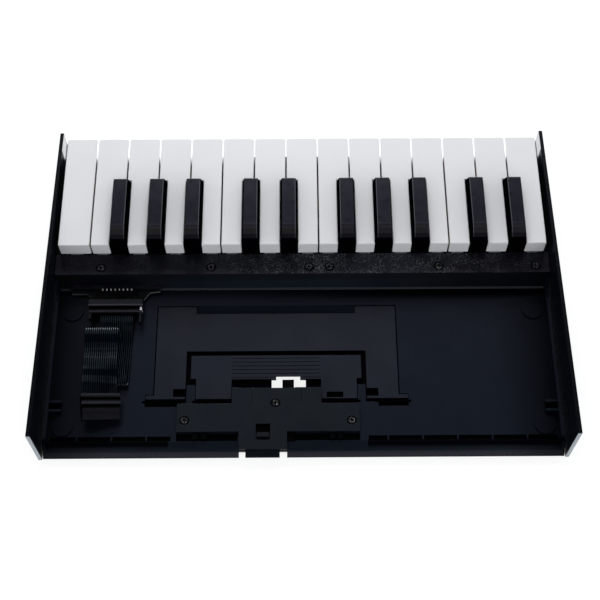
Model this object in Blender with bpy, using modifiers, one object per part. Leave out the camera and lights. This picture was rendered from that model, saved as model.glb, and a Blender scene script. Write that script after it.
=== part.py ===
"""A 25-key mini keyboard with an open instrument bay behind its keys.

World frame: the player sits on the -Y side, the bay is on the +Y side and +Z is up. The origin is
at the bottom centre of the whole object, on the surface that its feet stand on. Every size below
is in millimetres, and the mesh data is in metres.
"""
import math

import bmesh
import bpy
from mathutils import Matrix, Vector

MM = 0.001
GAP = 0.3

# Whole case: its width follows the keys
WHITE_COUNT = 15
WHITE_PITCH = 20.0
SIDE_MARGIN = 5.0
CASE_WIDTH = WHITE_COUNT * WHITE_PITCH + 2 * SIDE_MARGIN
CASE_DEPTH = 211.6
FOOT_HEIGHT = 2.3
PANEL_THICKNESS = 2.35
PANEL_FRONT_TOP = 31.0
PANEL_REAR_TOP = 40.95
PANEL_GAP = 0.35

# Keys
WHITE_GAP = 0.9
KEY_TOP = 31.0
KEY_SKIRT = 20.3
KEY_LIP = 18.5
KEY_FRONT = -100.3
KEY_REAR = -22.1
KEY_WALL = 1.5
KEY_ROOF = 1.8
KEY_CHAMFER = 0.45
KEY_CORNER = 1.5
KEY_ANGLE = 2.8
PIVOT_Y = -19.1
PIVOT_Z = 15.0
ROD_RADIUS = 1.5
ROD_CLEARANCE = 0.12
TAIL_RADIUS = 2.6
TAIL_WIDTH = 7.0

# Black keys: the number of the gap that each stands over, and how far it stands off that gap
BLACK_OVER = {2: 2.7, 3: 0.0, 4: -2.7, 6: 1.8, 7: -1.8, 9: 2.6, 10: 0.0, 11: -2.6, 13: 1.8, 14: -1.8}
BLACK_WIDTH = 10.5
BLACK_TOP_WIDTH = 8.4
BLACK_TOP = 39.5
BLACK_FRONT = -67.9
BLACK_SLOT = BLACK_WIDTH + 0.7
BLACK_HOLLOW = BLACK_WIDTH / 2 - 2.05
BLADE_CLEARANCE = 0.45
BLACK_SLOT_FRONT = -68.7

# Tray
TRAY_BOTTOM = FOOT_HEIGHT + 0.3
TRAY_FLOOR = 4.6
BAY_FLOOR = 6.0
TRAY_WALL = 1.8
TRAY_WALL_TOP = 16.0
BAY_WALL_TOP = 10.0
TRAY_FRONT = -96.3
TRAY_REAR = CASE_DEPTH / 2 - 0.6
TRAY_HALF = CASE_WIDTH / 2 - PANEL_THICKNESS - PANEL_GAP
INSIDE_HALF = TRAY_HALF - TRAY_WALL
KEYS_HALF = WHITE_COUNT * WHITE_PITCH / 2
RECESS_FLOOR = 3.5
PAD_RISE = 0.9
SLOT_PITCH = 20.4
REAR_SLOT_Y = (92.9, 95.9)
PANEL_STUDS = ((-91.0, 10.0), (-45.0, 10.0), (-10.6, 12.0))
STUD_RADIUS = 1.7

# Rear rail that covers the key pivots
RAIL_TOP = 20.0
RAIL_THICKNESS = 2.0
RAIL_FRONT = -21.7
RAIL_BACK = -7.7
RAIL_FOOT = -4.1
RAIL_LIP = (0.5, 0.9)
HOOD_REAR = -2.4
RAIL_SCREW_X = (
    CASE_WIDTH / 2 - 30.9,
    CASE_WIDTH / 2 * 0.3626,
    CASE_WIDTH / 2 * -0.0258,
    CASE_WIDTH / 2 * -0.1071,
    CASE_WIDTH / 2 * -0.5432,
    CASE_WIDTH / -2 + 11.0,
)
RAIL_SCREW_Y = -12.6

# Tilt stands, folded flat in the bay floor
STAND_THICKNESS = 2.0
STAND_ROOM = 0.7
STAND_AXIS_Y = 71.2
STAND_AXIS_Z = 4.6
BARREL_RADIUS = 0.8
EAR_REAR = STAND_AXIS_Y - 1.9
LONG_X = (-56.8, 89.0)
LONG_BARRELS = ((-62.2, -44.9), (73.2, 94.0))
LONG_FRONT = 8.0
NOTCH_X = (-32.2, 65.4)
NOTCH_REAR = LONG_FRONT + 4.8
LONG_WINDOW_X = (-37.9, 70.5)
LONG_WINDOW_FRONT = 38.1
SHORT_GAP = (3.0, 3.0)
SHORT_X = (LONG_WINDOW_X[0] + SHORT_GAP[0], LONG_WINDOW_X[1] - SHORT_GAP[0])
SHORT_FRONT = LONG_WINDOW_FRONT + SHORT_GAP[1]
SHORT_LEGS = ((-32.0, -10.7), (43.0, 64.2))
PIN_RADIUS = 0.55
PIN_LENGTH = 1.6

# Latch
BRACKET_X = (-33.2, 75.0)
BRACKET_Y = (73.4, 91.0)
BRACKET_TOP = 9.0
BRACKET_NOSE_X = (-10.7, 42.6)
BRACKET_NOSE_FRONT = 63.5
TONGUE_X = (9.8, 38.0)
TONGUE_REAR = 101.4
SLIDER_TRAVEL = 2.0
SLIDER_X = (5.6, 37.0)
SLIDER_Y = (64.6, 95.8)
CATCH_X = (5.6, 12.5)
TAB_X = (14.5, 33.8)
TAB_REAR = 105.6
SPRING_X = 30.0
SPRING_Z = 4.9
SPRING_REAR = 71.0
HOLE_X = (-1.5, 19.0)
HOLE_Y = (53.2, 61.9)
SHORT_WAIST = HOLE_Y[1] - 5.2
SHORT_EAR = SHORT_WAIST - 0.5
CATCH_FRONT = SHORT_WAIST + 0.4
# Screws: head radius, shank radius and the height of the tip
RAIL_SCREW = (2.9, 1.3, 8.0)
BRACKET_SCREW = (2.7, 1.0, 3.7)
SCREW_SINK = 0.2
BRACKET_SCREWS = ((70.2, 83.9), (16.7, 73.1), (-28.3, 84.3))

# Board, connector and ribbon cable
BOARD_Z = (7.4, 9.0)
BOARD_HALF = KEYS_HALF - 3.0
HEADER_CENTRE_X = CASE_WIDTH / 2 - 40.6
HEADER_Y = (5.4, 11.2)
CLIP_Y = (11.6, 15.2)
PIN_PITCH = 2.54
RIBBON_WIDTH = 20.3
RIBBON_THICKNESS = 0.9
RIBBON_STEP = 2.2
RIBBON_SKEW_LENGTH = 18.0
PLUG_SIZE = (22.4, 16.4, 6.3)
PLUG_TURN = 7.6
PLUG_LEAN = 18.0
PLUG_PLACE = (HEADER_CENTRE_X + 7.1, 69.2)

FOOT_PLACES = tuple(
    (side * (CASE_WIDTH / 2 - inset), y)
    for inset, y in ((13.3, 10.9), (12.7, 86.3), (16.0, -82.0))
    for side in (-1, 1)
)


def clear_scene():
    for old in list(bpy.data.objects):
        bpy.data.objects.remove(old, do_unlink=True)


def new_collection(name):
    made = bpy.data.collections.new(name)
    bpy.context.scene.collection.children.link(made)
    return made


def new_material(name, colour, roughness, metallic=0.0):
    made = bpy.data.materials.new(name)
    made.use_nodes = True
    shader = made.node_tree.nodes["Principled BSDF"]
    shader.inputs["Base Color"].default_value = (*colour, 1.0)
    shader.inputs["Roughness"].default_value = roughness
    shader.inputs["Metallic"].default_value = metallic
    return made


clear_scene()
PARTS = new_collection("mini_keyboard")
CUTTERS = new_collection("cutters")
CUTTERS.hide_render = True

WHITE_PLASTIC = new_material("white_key_plastic", (0.80, 0.81, 0.82), 0.35)
BLACK_KEY_PLASTIC = new_material("black_key_plastic", (0.012, 0.013, 0.018), 0.35)
BLACK_PLASTIC = new_material("black_case_plastic", (0.008, 0.009, 0.014), 0.55)
FRAME_PLASTIC = new_material("frame_plastic", (0.05, 0.05, 0.055), 0.6)
BLACK_RUBBER = new_material("black_rubber", (0.015, 0.015, 0.015), 0.85)
GREY_RUBBER = new_material("contact_rubber", (0.32, 0.32, 0.31), 0.8)
FELT = new_material("stop_felt", (0.35, 0.05, 0.05), 0.95)
STEEL = new_material("steel", (0.45, 0.45, 0.46), 0.3, 1.0)
DARK_STEEL = new_material("black_steel", (0.02, 0.02, 0.022), 0.4, 1.0)
PANEL_METAL = new_material("painted_panel", (0.01, 0.01, 0.012), 0.4)
BOARD_GREEN = new_material("board_laminate", (0.02, 0.09, 0.04), 0.5)
GOLD = new_material("contact_gold", (0.8, 0.6, 0.25), 0.3, 1.0)
CABLE_PLASTIC = new_material("ribbon_insulation", (0.015, 0.015, 0.02), 0.45)


def keep(mesh, name, material):
    """Put a finished mesh into the scene, as a part if it has a material and as a cutter if not."""
    made = bpy.data.objects.new(name, mesh)
    if material is None:
        CUTTERS.objects.link(made)
        made.hide_render = True
        made.display_type = "WIRE"
    else:
        PARTS.objects.link(made)
        mesh.materials.append(material)
    return made


def blocks(name, boxes, material=None, turn=None):
    """One mesh of separate boxes, each given as (x, y, z) pairs of limits."""
    work = bmesh.new()
    for box in boxes:
        size = [(high - low) * MM for low, high in box]
        centre = [(high + low) / 2 * MM for low, high in box]
        place = Matrix.Translation(centre) @ Matrix.Diagonal((*size, 1.0))
        bmesh.ops.create_cube(work, size=1.0, matrix=place)
    if turn is not None:
        bmesh.ops.transform(work, matrix=turn, verts=work.verts)
    mesh = bpy.data.meshes.new(name)
    work.to_mesh(mesh)
    work.free()
    return keep(mesh, name, material)


AXIS_TURN = {
    "X": Matrix.Rotation(math.radians(90), 4, "Y"),
    "Y": Matrix.Rotation(math.radians(-90), 4, "X"),
    "Z": Matrix.Identity(4),
}


def rods(name, items, axis, material=None, segments=20):
    """One mesh of separate rods along one axis.

    Each is (centre, low radius, high radius, low end, high end), and a cone has two radii.
    """
    work = bmesh.new()
    index = "XYZ".index(axis)
    for centre, low_radius, high_radius, low, high in items:
        middle = list(centre)
        middle[index] = (low + high) / 2
        place = Matrix.Translation([value * MM for value in middle]) @ AXIS_TURN[axis]
        bmesh.ops.create_cone(
            work,
            cap_ends=True,
            segments=segments,
            radius1=low_radius * MM,
            radius2=high_radius * MM,
            depth=(high - low) * MM,
            matrix=place,
        )
    mesh = bpy.data.meshes.new(name)
    work.to_mesh(mesh)
    work.free()
    return keep(mesh, name, material)


OUTLINE_TURN = {
    "X": Matrix(((0, 0, 1, 0), (1, 0, 0, 0), (0, 1, 0, 0), (0, 0, 0, 1))),
    "Z": Matrix.Identity(4),
}


def outline_mesh(name, points, axis, low, high):
    """A flat outline pushed out along an axis, from (y, z) points for X and (x, y) points for Z."""
    curve = bpy.data.curves.new(name, "CURVE")
    curve.dimensions = "2D"
    curve.fill_mode = "BOTH"
    curve.extrude = (high - low) / 2 * MM
    spline = curve.splines.new("POLY")
    spline.points.add(len(points) - 1)
    for point, (u, v) in zip(spline.points, points):
        point.co = (u * MM, v * MM, 0.0, 1.0)
    spline.use_cyclic_u = True
    holder = bpy.data.objects.new(name, curve)
    mesh = bpy.data.meshes.new_from_object(holder)
    bpy.data.objects.remove(holder)
    bpy.data.curves.remove(curve)
    work = bmesh.new()
    work.from_mesh(mesh)
    bmesh.ops.remove_doubles(work, verts=work.verts, dist=1e-6)
    for side in (-1, 1):
        cap = [face for face in work.faces if all(vert.co.z * side > 0 for vert in face.verts)]
        bmesh.ops.dissolve_faces(work, faces=cap)
    shift = Matrix.Translation((0.0, 0.0, (high + low) / 2 * MM))
    bmesh.ops.transform(work, matrix=OUTLINE_TURN[axis] @ shift, verts=work.verts)
    bmesh.ops.recalc_face_normals(work, faces=work.faces)
    work.to_mesh(mesh)
    work.free()
    return mesh


def outlines(name, items, axis, material=None):
    """One mesh of separate pushed-out outlines, each given as (points, low, high)."""
    work = bmesh.new()
    for points, low, high in items:
        piece = outline_mesh(name, points, axis, low, high)
        work.from_mesh(piece)
        bpy.data.meshes.remove(piece)
    mesh = bpy.data.meshes.new(name)
    work.to_mesh(mesh)
    work.free()
    return keep(mesh, name, material)


def combine(part, tool, operation="DIFFERENCE"):
    step = part.modifiers.new(tool.name, "BOOLEAN")
    step.operation = operation
    step.solver = "EXACT"
    step.object = tool
    return part


def chamfer(part, width, segments=1, angle=50.0):
    step = part.modifiers.new("chamfer", "BEVEL")
    step.width = width * MM
    step.segments = segments
    step.limit_method = "ANGLE"
    step.angle_limit = math.radians(angle)
    return part


def arc(centre, radius, start, end, steps):
    """Points on an arc, with angles in degrees."""
    found = []
    for index in range(steps + 1):
        angle = math.radians(start + (end - start) * index / steps)
        found.append((centre[0] + radius * math.cos(angle), centre[1] + radius * math.sin(angle)))
    return found


def grown(limits, by):
    return (limits[0] - by, limits[1] + by)


def travel_at(y):
    """How far a key comes down at this place when it is pressed to the end."""
    return (PIVOT_Y - y) * math.tan(math.radians(KEY_ANGLE))


# Stops and contacts inside, worked out from the keys' travel
WHITE_BAR_Y = (-81.5, -78.5)
BLACK_BAR_Y = (-61.9, -58.9)
BAR_BOTTOM = 13.9
FELT_THICKNESS = 1.3
TOE_TOP = BAR_BOTTOM - 2 * GAP - 0.6
TOE_THICKNESS = 1.6
TOE_REACH = 7.4
WHITE_LEG_Y = -85.0
BLACK_LEG_Y = -66.8
REST_FELT_TOP = {y: KEY_SKIRT - travel_at(y[0]) - 0.2 for y in (WHITE_BAR_Y, BLACK_BAR_Y)}
CONTACT_Y = -49.0
DOME_TOP = 12.4
ACTUATOR_TIP = DOME_TOP + travel_at(CONTACT_Y - 2.5) + GAP


POST_SHARES = (-0.6, -0.066, 0.332, 0.871)
POST_CLEARANCE = 0.4
BOARD_STAKES = tuple((share * (BOARD_HALF - 5.0), -30.0) for share in (-1.0, -0.352, 0.352, 1.0))
PIN_ROWS_Y = (1.1, -1.44)
PIN_ROWS_Z = (9.73, 12.27)
MIDDLE_SCREW = BRACKET_SCREWS[1]

# The middle of the ribbon, sideways from the header: out of the socket, back under itself, forward,
# and back again on top
RIBBON_STOPS = (
    (-0.8, 15.5, 11.2), (-0.8, 21.0, 11.0), (-0.7, 27.0, 8.8), (-0.5, 34.0, 7.1), (-0.3, 46.0, 6.9),
    (0.0, 57.0, 6.95), (0.3, 60.7, 7.4), (0.6, 62.0, 8.8), (0.9, 60.5, 10.2), (2.2, 52.0, 10.4),
    (3.9, 42.0, 10.7), (5.5, 32.0, 11.6), (6.3, 27.4, 12.4), (6.7, 25.7, 14.2), (6.9, 27.4, 16.1),
    (6.9, 33.0, 16.0), (6.8, 40.0, 14.4), (6.7, 46.5, 15.2), (6.6, 53.0, 14.8), (6.5, 58.5, 14.2),
    (6.3, 63.5, 13.3), (6.15, 68.7, 12.7),
)


def white_rear_centres():
    """The middle of each white key's rear end, between the black keys' slots."""
    half = (WHITE_PITCH - WHITE_GAP) / 2
    found = []
    for index in range(WHITE_COUNT):
        left, right = white_centre(index) - half, white_centre(index) + half
        for black in BLACK_CENTRES:
            slot = grown((black, black), BLACK_SLOT / 2)
            if slot[0] < left < slot[1]:
                left = slot[1]
            elif slot[0] < right < slot[1]:
                right = slot[0]
        found.append((left + right) / 2)
    return found


def white_centre(index):
    """The middle of a white key, counted from the player's left."""
    return (index - (WHITE_COUNT - 1) / 2) * WHITE_PITCH


def black_centre(boundary):
    """The middle of the black key over a gap that is counted from the player's right."""
    return WHITE_COUNT * WHITE_PITCH / 2 - WHITE_PITCH * boundary + BLACK_OVER[boundary]


BLACK_CENTRES = sorted(black_centre(boundary) for boundary in BLACK_OVER)


def post_limits():
    """Where the pivot posts stand: at both ends, and in four gaps between the keys' tails."""
    tails = sorted((*white_rear_centres(), *BLACK_CENTRES))
    reach = TAIL_WIDTH / 2 + POST_CLEARANCE
    gaps = [(low + reach, high - reach) for low, high in zip(tails, tails[1:])]
    wide = [gap for gap in gaps if gap[1] - gap[0] > 2.0]
    end = (INSIDE_HALF - 2.9, INSIDE_HALF - 0.8)
    found = [(-end[1], -end[0]), end]
    for share in POST_SHARES:
        found.append(min(wide, key=lambda gap: abs(sum(gap) / 2 - share * KEYS_HALF)))
    return found


def every_other_middle(centres):
    """The places midway between neighbours, leaving out every second one."""
    ordered = sorted(centres)
    return [(low + high) / 2 for low, high in zip(ordered, ordered[1:])][::2]


def key_inside(name, centre, leg_y, roof, material):
    """The tail, the stop leg and the contact foot that hang inside a key."""
    top = roof + 0.4
    tail = [(-26.5, top), (-23.2, top), (-23.2, PIVOT_Z + TAIL_RADIUS)]
    tail += arc((PIVOT_Y, PIVOT_Z), TAIL_RADIUS, 90, -90, 5)
    tail += [(-24.5, PIVOT_Z - TAIL_RADIUS), (-26.5, PIVOT_Z)]
    low = TOE_TOP - TOE_THICKNESS
    leg = [
        (leg_y, top),
        (leg_y + 2.0, top),
        (leg_y + 2.0, TOE_TOP),
        (leg_y + TOE_REACH, TOE_TOP),
        (leg_y + TOE_REACH, low),
        (leg_y, low),
    ]
    foot = [
        (CONTACT_Y - 2.5, top),
        (CONTACT_Y + 2.5, top),
        (CONTACT_Y + 2.5, ACTUATOR_TIP),
        (CONTACT_Y - 2.5, ACTUATOR_TIP),
    ]
    half = TAIL_WIDTH / 2
    items = [
        (tail, centre - half, centre + half),
        (leg, centre - 1.5, centre + 1.5),
        (foot, centre - 2.0, centre + 2.0),
    ]
    return outlines(name, items, "X", material)


def finish_key(part, name, bore):
    """Put the key's origin on its hinge axis."""
    combine(part, bore)
    pivot = Vector((0.0, PIVOT_Y * MM, PIVOT_Z * MM))
    part.data.transform(Matrix.Translation(-pivot))
    part.location = pivot
    return part


def white_key(index, bore):
    name = f"white_key_{index + 1:02d}"
    centre = white_centre(index)
    half = (WHITE_PITCH - WHITE_GAP) / 2
    left, right = centre - half, centre + half
    side = [
        (KEY_FRONT, KEY_LIP),
        (KEY_FRONT, KEY_TOP),
        (KEY_REAR, KEY_TOP),
        (KEY_REAR, KEY_SKIRT),
        (KEY_FRONT + KEY_ROOF, KEY_SKIRT),
        (KEY_FRONT + KEY_ROOF, KEY_LIP),
    ]
    part = outlines(name, [(side, left, right)], "X", WHITE_PLASTIC)
    rear_left, rear_right = left, right
    notches = []
    for black in BLACK_CENTRES:
        slot = grown((black, black), BLACK_SLOT / 2)
        if slot[0] < left < slot[1]:
            rear_left = slot[1]
            notches.append(((left - 1, slot[1]), (BLACK_SLOT_FRONT, KEY_REAR + 1), (15, 35)))
        if slot[0] < right < slot[1]:
            rear_right = slot[0]
            notches.append(((slot[0], right + 1), (BLACK_SLOT_FRONT, KEY_REAR + 1), (15, 35)))
    corners = []
    for edge, way in ((left, 1), (right, -1)):
        turn = arc((edge + way * KEY_CORNER, KEY_FRONT + KEY_CORNER), KEY_CORNER + 0.03, -90, -90 - way * 90, 3)
        corner = [(edge - way, KEY_FRONT + KEY_CORNER), (edge - way, KEY_FRONT - 1), (turn[0][0], KEY_FRONT - 1)]
        corners.append((corner + turn, 10, 40))
    combine(part, outlines(name + "_corners", corners, "Z"))
    if notches:
        combine(part, blocks(name + "_notch", notches))
    chamfer(part, KEY_CHAMFER)
    roof = KEY_TOP - KEY_ROOF
    rear = KEY_REAR - KEY_ROOF
    shoulder = BLACK_SLOT_FRONT - KEY_WALL
    hollow = [
        (left + KEY_WALL, KEY_FRONT + KEY_ROOF),
        (right - KEY_WALL, KEY_FRONT + KEY_ROOF),
        (right - KEY_WALL, shoulder),
        (rear_right - KEY_WALL, shoulder),
        (rear_right - KEY_WALL, rear),
        (rear_left + KEY_WALL, rear),
        (rear_left + KEY_WALL, shoulder),
        (left + KEY_WALL, shoulder),
    ]
    hollow = [point for at, point in enumerate(hollow) if point != hollow[at - 1]]
    if rear_left == left:
        hollow = [point for point in hollow if point != (left + KEY_WALL, shoulder)]
    if rear_right == right:
        hollow = [point for point in hollow if point != (right - KEY_WALL, shoulder)]
    combine(part, outlines(name + "_hollow", [(hollow, 10, roof)], "Z"))
    rear_centre = (rear_left + rear_right) / 2
    inside = key_inside(name + "_inside", rear_centre, WHITE_LEG_Y, roof, None)
    combine(part, inside, "UNION")
    return finish_key(part, name, bore)


def black_key(index, bore):
    name = f"black_key_{index + 1:02d}"
    centre = BLACK_CENTRES[index]
    half = BLACK_WIDTH / 2
    base = [(BLACK_FRONT, KEY_SKIRT), (BLACK_FRONT, 31.2), (KEY_REAR, 31.2), (KEY_REAR, KEY_SKIRT)]
    part = outlines(name, [(base, centre - half, centre + half)], "X", BLACK_KEY_PLASTIC)
    cap = [(BLACK_FRONT, 30.6), (BLACK_FRONT + 0.2, 31.6), (-64.9, 39.1), (-64.2, BLACK_TOP)]
    cap += [(-31.5, BLACK_TOP), (-28.6, 39.05), (-25.6, 37.8), (-23.4, 36.4), (KEY_REAR, 35.2)]
    cap += [(KEY_REAR, 30.6)]
    upper = outline_mesh(name + "_cap", cap, "X", -half, half)
    for vertex in upper.vertices:
        share = (vertex.co.z / MM - 30.6) / (BLACK_TOP - 30.6)
        wide = half + 0.02 + (BLACK_TOP_WIDTH / 2 - half) * share
        vertex.co.x = centre * MM + math.copysign(wide * MM, vertex.co.x)
    combine(part, keep(upper, name + "_cap", None), "UNION")
    chamfer(part, KEY_CHAMFER, angle=40.0)
    hollow = (grown((centre, centre), BLACK_HOLLOW), (BLACK_FRONT + KEY_WALL, KEY_REAR - KEY_ROOF), (10, 34.5))
    combine(part, blocks(name + "_hollow", [hollow]))
    inside = key_inside(name + "_inside", centre, BLACK_LEG_Y, 34.5, None)
    combine(part, inside, "UNION")
    return finish_key(part, name, bore)


def make_keys():
    reach = CASE_WIDTH / 2
    bore_radius = ROD_RADIUS + ROD_CLEARANCE
    bore = rods(
        "pivot_bore",
        [((0, PIVOT_Y, PIVOT_Z), bore_radius, bore_radius, -reach, reach)],
        "X",
        segments=10,
    )
    back = Matrix.Translation((0.0, -PIVOT_Y * MM, -PIVOT_Z * MM))
    made = [white_key(index, bore) for index in range(WHITE_COUNT)]
    made += [black_key(index, bore) for index in range(len(BLACK_CENTRES))]
    for part in made:
        for step in part.modifiers:
            if step.type == "BOOLEAN" and step.object is not bore:
                step.object.data.transform(back)
                step.object.location = part.location
    return made


def make_side_panels():
    """Two thin panels, each with three moulded studs that pass through the tray's side wall."""
    half_depth = CASE_DEPTH / 2
    side = [
        (-half_depth, FOOT_HEIGHT),
        (half_depth, FOOT_HEIGHT),
        (half_depth, PANEL_REAR_TOP - 0.8),
        (half_depth - 0.8, PANEL_REAR_TOP),
        (-half_depth + 0.8, PANEL_FRONT_TOP),
        (-half_depth, PANEL_FRONT_TOP - 0.8),
    ]
    outer = CASE_WIDTH / 2
    inner = outer - PANEL_THICKNESS
    stud_end = inner - PANEL_GAP - TRAY_WALL - 0.2
    for name, sign in (("side_panel_left", -1), ("side_panel_right", 1)):
        part = outlines(name, [(side, *sorted((sign * inner, sign * outer)))], "X", PANEL_METAL)
        chamfer(part, 0.25)
        limits = sorted((sign * stud_end, sign * (inner + 0.8)))
        studs = [((0, y, z), STUD_RADIUS, STUD_RADIUS, *limits) for y, z in PANEL_STUDS]
        combine(part, rods(name + "_studs", studs, "X", segments=12), "UNION")


def slot_edges(start, first, end):
    """Limits of the slots along an edge: a short first one, whole ones, and what is left over."""
    way = 1 if end > start else -1
    edges = [start, start + way * first]
    while abs(end - edges[-1]) > SLOT_PITCH + 3.0:
        edges.append(edges[-1] + way * SLOT_PITCH)
    edges.append(end)
    return [tuple(sorted(pair)) for pair in zip(edges, edges[1:])]


def make_tray():
    half = TRAY_HALF
    floor = [
        (TRAY_FRONT, TRAY_BOTTOM),
        (TRAY_FRONT, TRAY_WALL_TOP),
        (TRAY_FRONT + 2.2, TRAY_WALL_TOP),
        (TRAY_FRONT + 2.2, TRAY_FLOOR),
        (-8.0, TRAY_FLOOR),
        (-8.0, BAY_FLOOR),
        (96.2, BAY_FLOOR),
        (99.4, 5.6),
        (102.2, 4.7),
        (104.3, 3.6),
        (TRAY_REAR, TRAY_BOTTOM),
    ]
    part = outlines("bottom_tray", [(floor, -half, half)], "X", BLACK_PLASTIC)
    side = [
        (TRAY_FRONT + 0.4, TRAY_BOTTOM + 0.5),
        (TRAY_FRONT + 0.4, TRAY_WALL_TOP - 0.2),
        (-4.6, TRAY_WALL_TOP - 0.2),
        (-3.4, BAY_WALL_TOP),
        (98.4, BAY_WALL_TOP),
        (102.6, 4.2),
        (102.6, TRAY_BOTTOM + 0.5),
    ]
    inner = INSIDE_HALF
    walls = [(side, -half + 0.02, -inner), (side, inner, half - 0.02)]
    combine(part, outlines("tray_side_walls", walls, "X"), "UNION")

    # Bosses that take the rail screws, pads over the feet, locating ribs at the bay's sides
    bosses = [((x, RAIL_SCREW_Y, 0), 3.2, 3.2, 4.0, 17.6) for x in RAIL_SCREW_X]
    combine(part, rods("tray_bosses", bosses, "Z", segments=12), "UNION")
    pads = [((x, y, 0), 6.4, 6.4, 5.0, BAY_FLOOR + PAD_RISE) for x, y in FOOT_PLACES[:4]]
    combine(part, rods("foot_pads", pads, "Z", segments=20), "UNION")
    pegs = []
    pockets = []
    for side, front in ((1, 71.0), (-1, 72.2)):
        rib = sorted((side * (inner - 7.2), side * (inner + 0.5)))
        pegs += [(rib, (y, y + 1.4), (5.0, 9.4)) for y in (front, front + 5.6)]
        pocket = sorted((side * (inner - 6.8), side * (inner - 0.3)))
        pockets.append((pocket, (front + 1.6, front + 5.4), (4.2, 9.0)))
    combine(part, blocks("tray_pegs", pegs), "UNION")
    combine(part, blocks("peg_pockets", pockets))

    # Holes for the rail screws, cups for the feet and holes for the panels' studs
    holes = [((x, RAIL_SCREW_Y, 0), 1.6, 1.6, 6.0, 20.0) for x in RAIL_SCREW_X]
    combine(part, rods("tray_screw_holes", holes, "Z", segments=8))
    cups = [((x, y, 0), 6.3, 6.3, 0.0, TRAY_BOTTOM + 0.8) for x, y in FOOT_PLACES]
    combine(part, rods("foot_cups", cups, "Z", segments=20))
    stud_hole = STUD_RADIUS + GAP
    sides = [((0, y, z), stud_hole, stud_hole, -half - 1, half + 1) for y, z in PANEL_STUDS]
    combine(part, rods("tray_side_holes", sides, "X", segments=10))

    # Slots along the bay's rear edge, with a thin rib left between each pair
    deep = (4.2, 7.0)
    edges = slot_edges(BRACKET_X[0] - 4.4, 12.0, 1.2 - inner)
    edges += slot_edges(BRACKET_X[1] + 2.5, 14.8, inner - 1.2)
    slots = [(grown(edge, -0.5), REAR_SLOT_Y, deep) for edge in edges]
    behind = ((BRACKET_Y[1] + 0.2, REAR_SLOT_Y[1]), deep)
    slots.append(((BRACKET_X[0] + 0.2, TONGUE_X[0] - 0.8), *behind))
    slots.append(((TONGUE_X[1] + 0.8, BRACKET_X[1] - 0.2), *behind))
    combine(part, blocks("rear_slots", slots))

    # Room for the folded stands, round a tongue of floor with a scoop in it for a finger
    room = STAND_ROOM
    deep = (RECESS_FLOOR, 9.0)
    bed_end = HOLE_Y[1] - 1.5
    (left, right), front = grown(LONG_X, room), LONG_FRONT - room
    (tongue_left, tongue_right), tongue_end = grown(NOTCH_X, -room), NOTCH_REAR - room
    bed = [
        (left, front), (tongue_left, front), (tongue_left, tongue_end), (tongue_right, tongue_end),
        (tongue_right, front), (right, front), (right, bed_end), (left, bed_end),
    ]
    combine(part, outlines("stand_bed", [(bed, *deep)], "Z"))
    scoop = [(LONG_FRONT - 1.0, BAY_FLOOR + 0.05), (tongue_end + 0.3, RECESS_FLOOR + 0.9), (tongue_end + 0.3, 9.0)]
    combine(part, outlines("finger_scoop", [(scoop, tongue_left - 0.3, tongue_right + 0.3)], "X"))
    arms = [
        ((left, LONG_WINDOW_X[0] + room), (bed_end - 1.0, STAND_AXIS_Y + 0.5), deep),
        ((LONG_WINDOW_X[1] - room, right), (bed_end - 1.0, STAND_AXIS_Y + 0.5), deep),
        ((SHORT_LEGS[0][1] + 0.6, SHORT_LEGS[1][0] - 0.6), (bed_end - 1.0, HOLE_Y[1] + 0.1), deep),
    ]
    arms += [(grown(leg, GAP + 0.1), (bed_end - 1.0, STAND_AXIS_Y + 1.8), deep) for leg in SHORT_LEGS]
    combine(part, blocks("arm_beds", arms))
    barrels = [(grown(barrel, GAP + 0.1), (66.4, STAND_AXIS_Y + 3.1), deep) for barrel in LONG_BARRELS]
    combine(part, blocks("barrel_beds", barrels))
    pin_room = PIN_RADIUS + 0.25
    slots = []
    for low, high in (*LONG_BARRELS, *SHORT_LEGS):
        for end, way in ((low, -1), (high, 1)):
            limits = sorted((end, end + way * (PIN_LENGTH + 0.4)))
            slots.append((limits, grown((STAND_AXIS_Y,) * 2, pin_room), (STAND_AXIS_Z - pin_room, 9.0)))
    combine(part, blocks("pin_slots", slots))

    # Hole through the floor, and the slider's channel
    combine(part, blocks("floor_hole", [(HOLE_X, HOLE_Y, (0.0, 9.0))]))
    combine(part, blocks("slider_bed", [(grown(SLIDER_X, 0.5), (HOLE_Y[1] - 0.4, 96.4), deep)]))
    combine(part, blocks("tab_bed", [(grown(TAB_X, 0.6), (96.0, 107.0), deep)]))
    notches = [
        ((TONGUE_X[0], TAB_X[0] - 0.4), (101.8, 107.0), (0.0, 9.0)),
        ((TAB_X[1] + 0.4, TONGUE_X[1]), (101.8, 107.0), (0.0, 9.0)),
    ]
    combine(part, blocks("rear_notches", notches))
    island = [((*MIDDLE_SCREW, 0), 2.6, 2.6, TRAY_BOTTOM + 0.3, BAY_FLOOR)]
    combine(part, rods("screw_island", island, "Z", segments=16), "UNION")
    studs = [((x, y, 0), 1.3, 1.3, 3.3, 9.0) for x, y in BRACKET_SCREWS]
    combine(part, rods("bracket_screw_holes", studs, "Z", segments=8))


def sinks_for(name, places, top, screw):
    """Cone-shaped seats for countersunk heads that lie a little below a surface."""
    head_radius, shank_radius, _ = screw
    seat = top - SCREW_SINK
    items = []
    for x, y in places:
        low = (shank_radius + 0.1, seat - (head_radius - shank_radius) - 0.2)
        high = (head_radius + 0.8, seat + 0.5)
        items.append(((x, y, 0), low[0], high[0], low[1], high[1]))
    return rods(name, items, "Z", segments=16)


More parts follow.
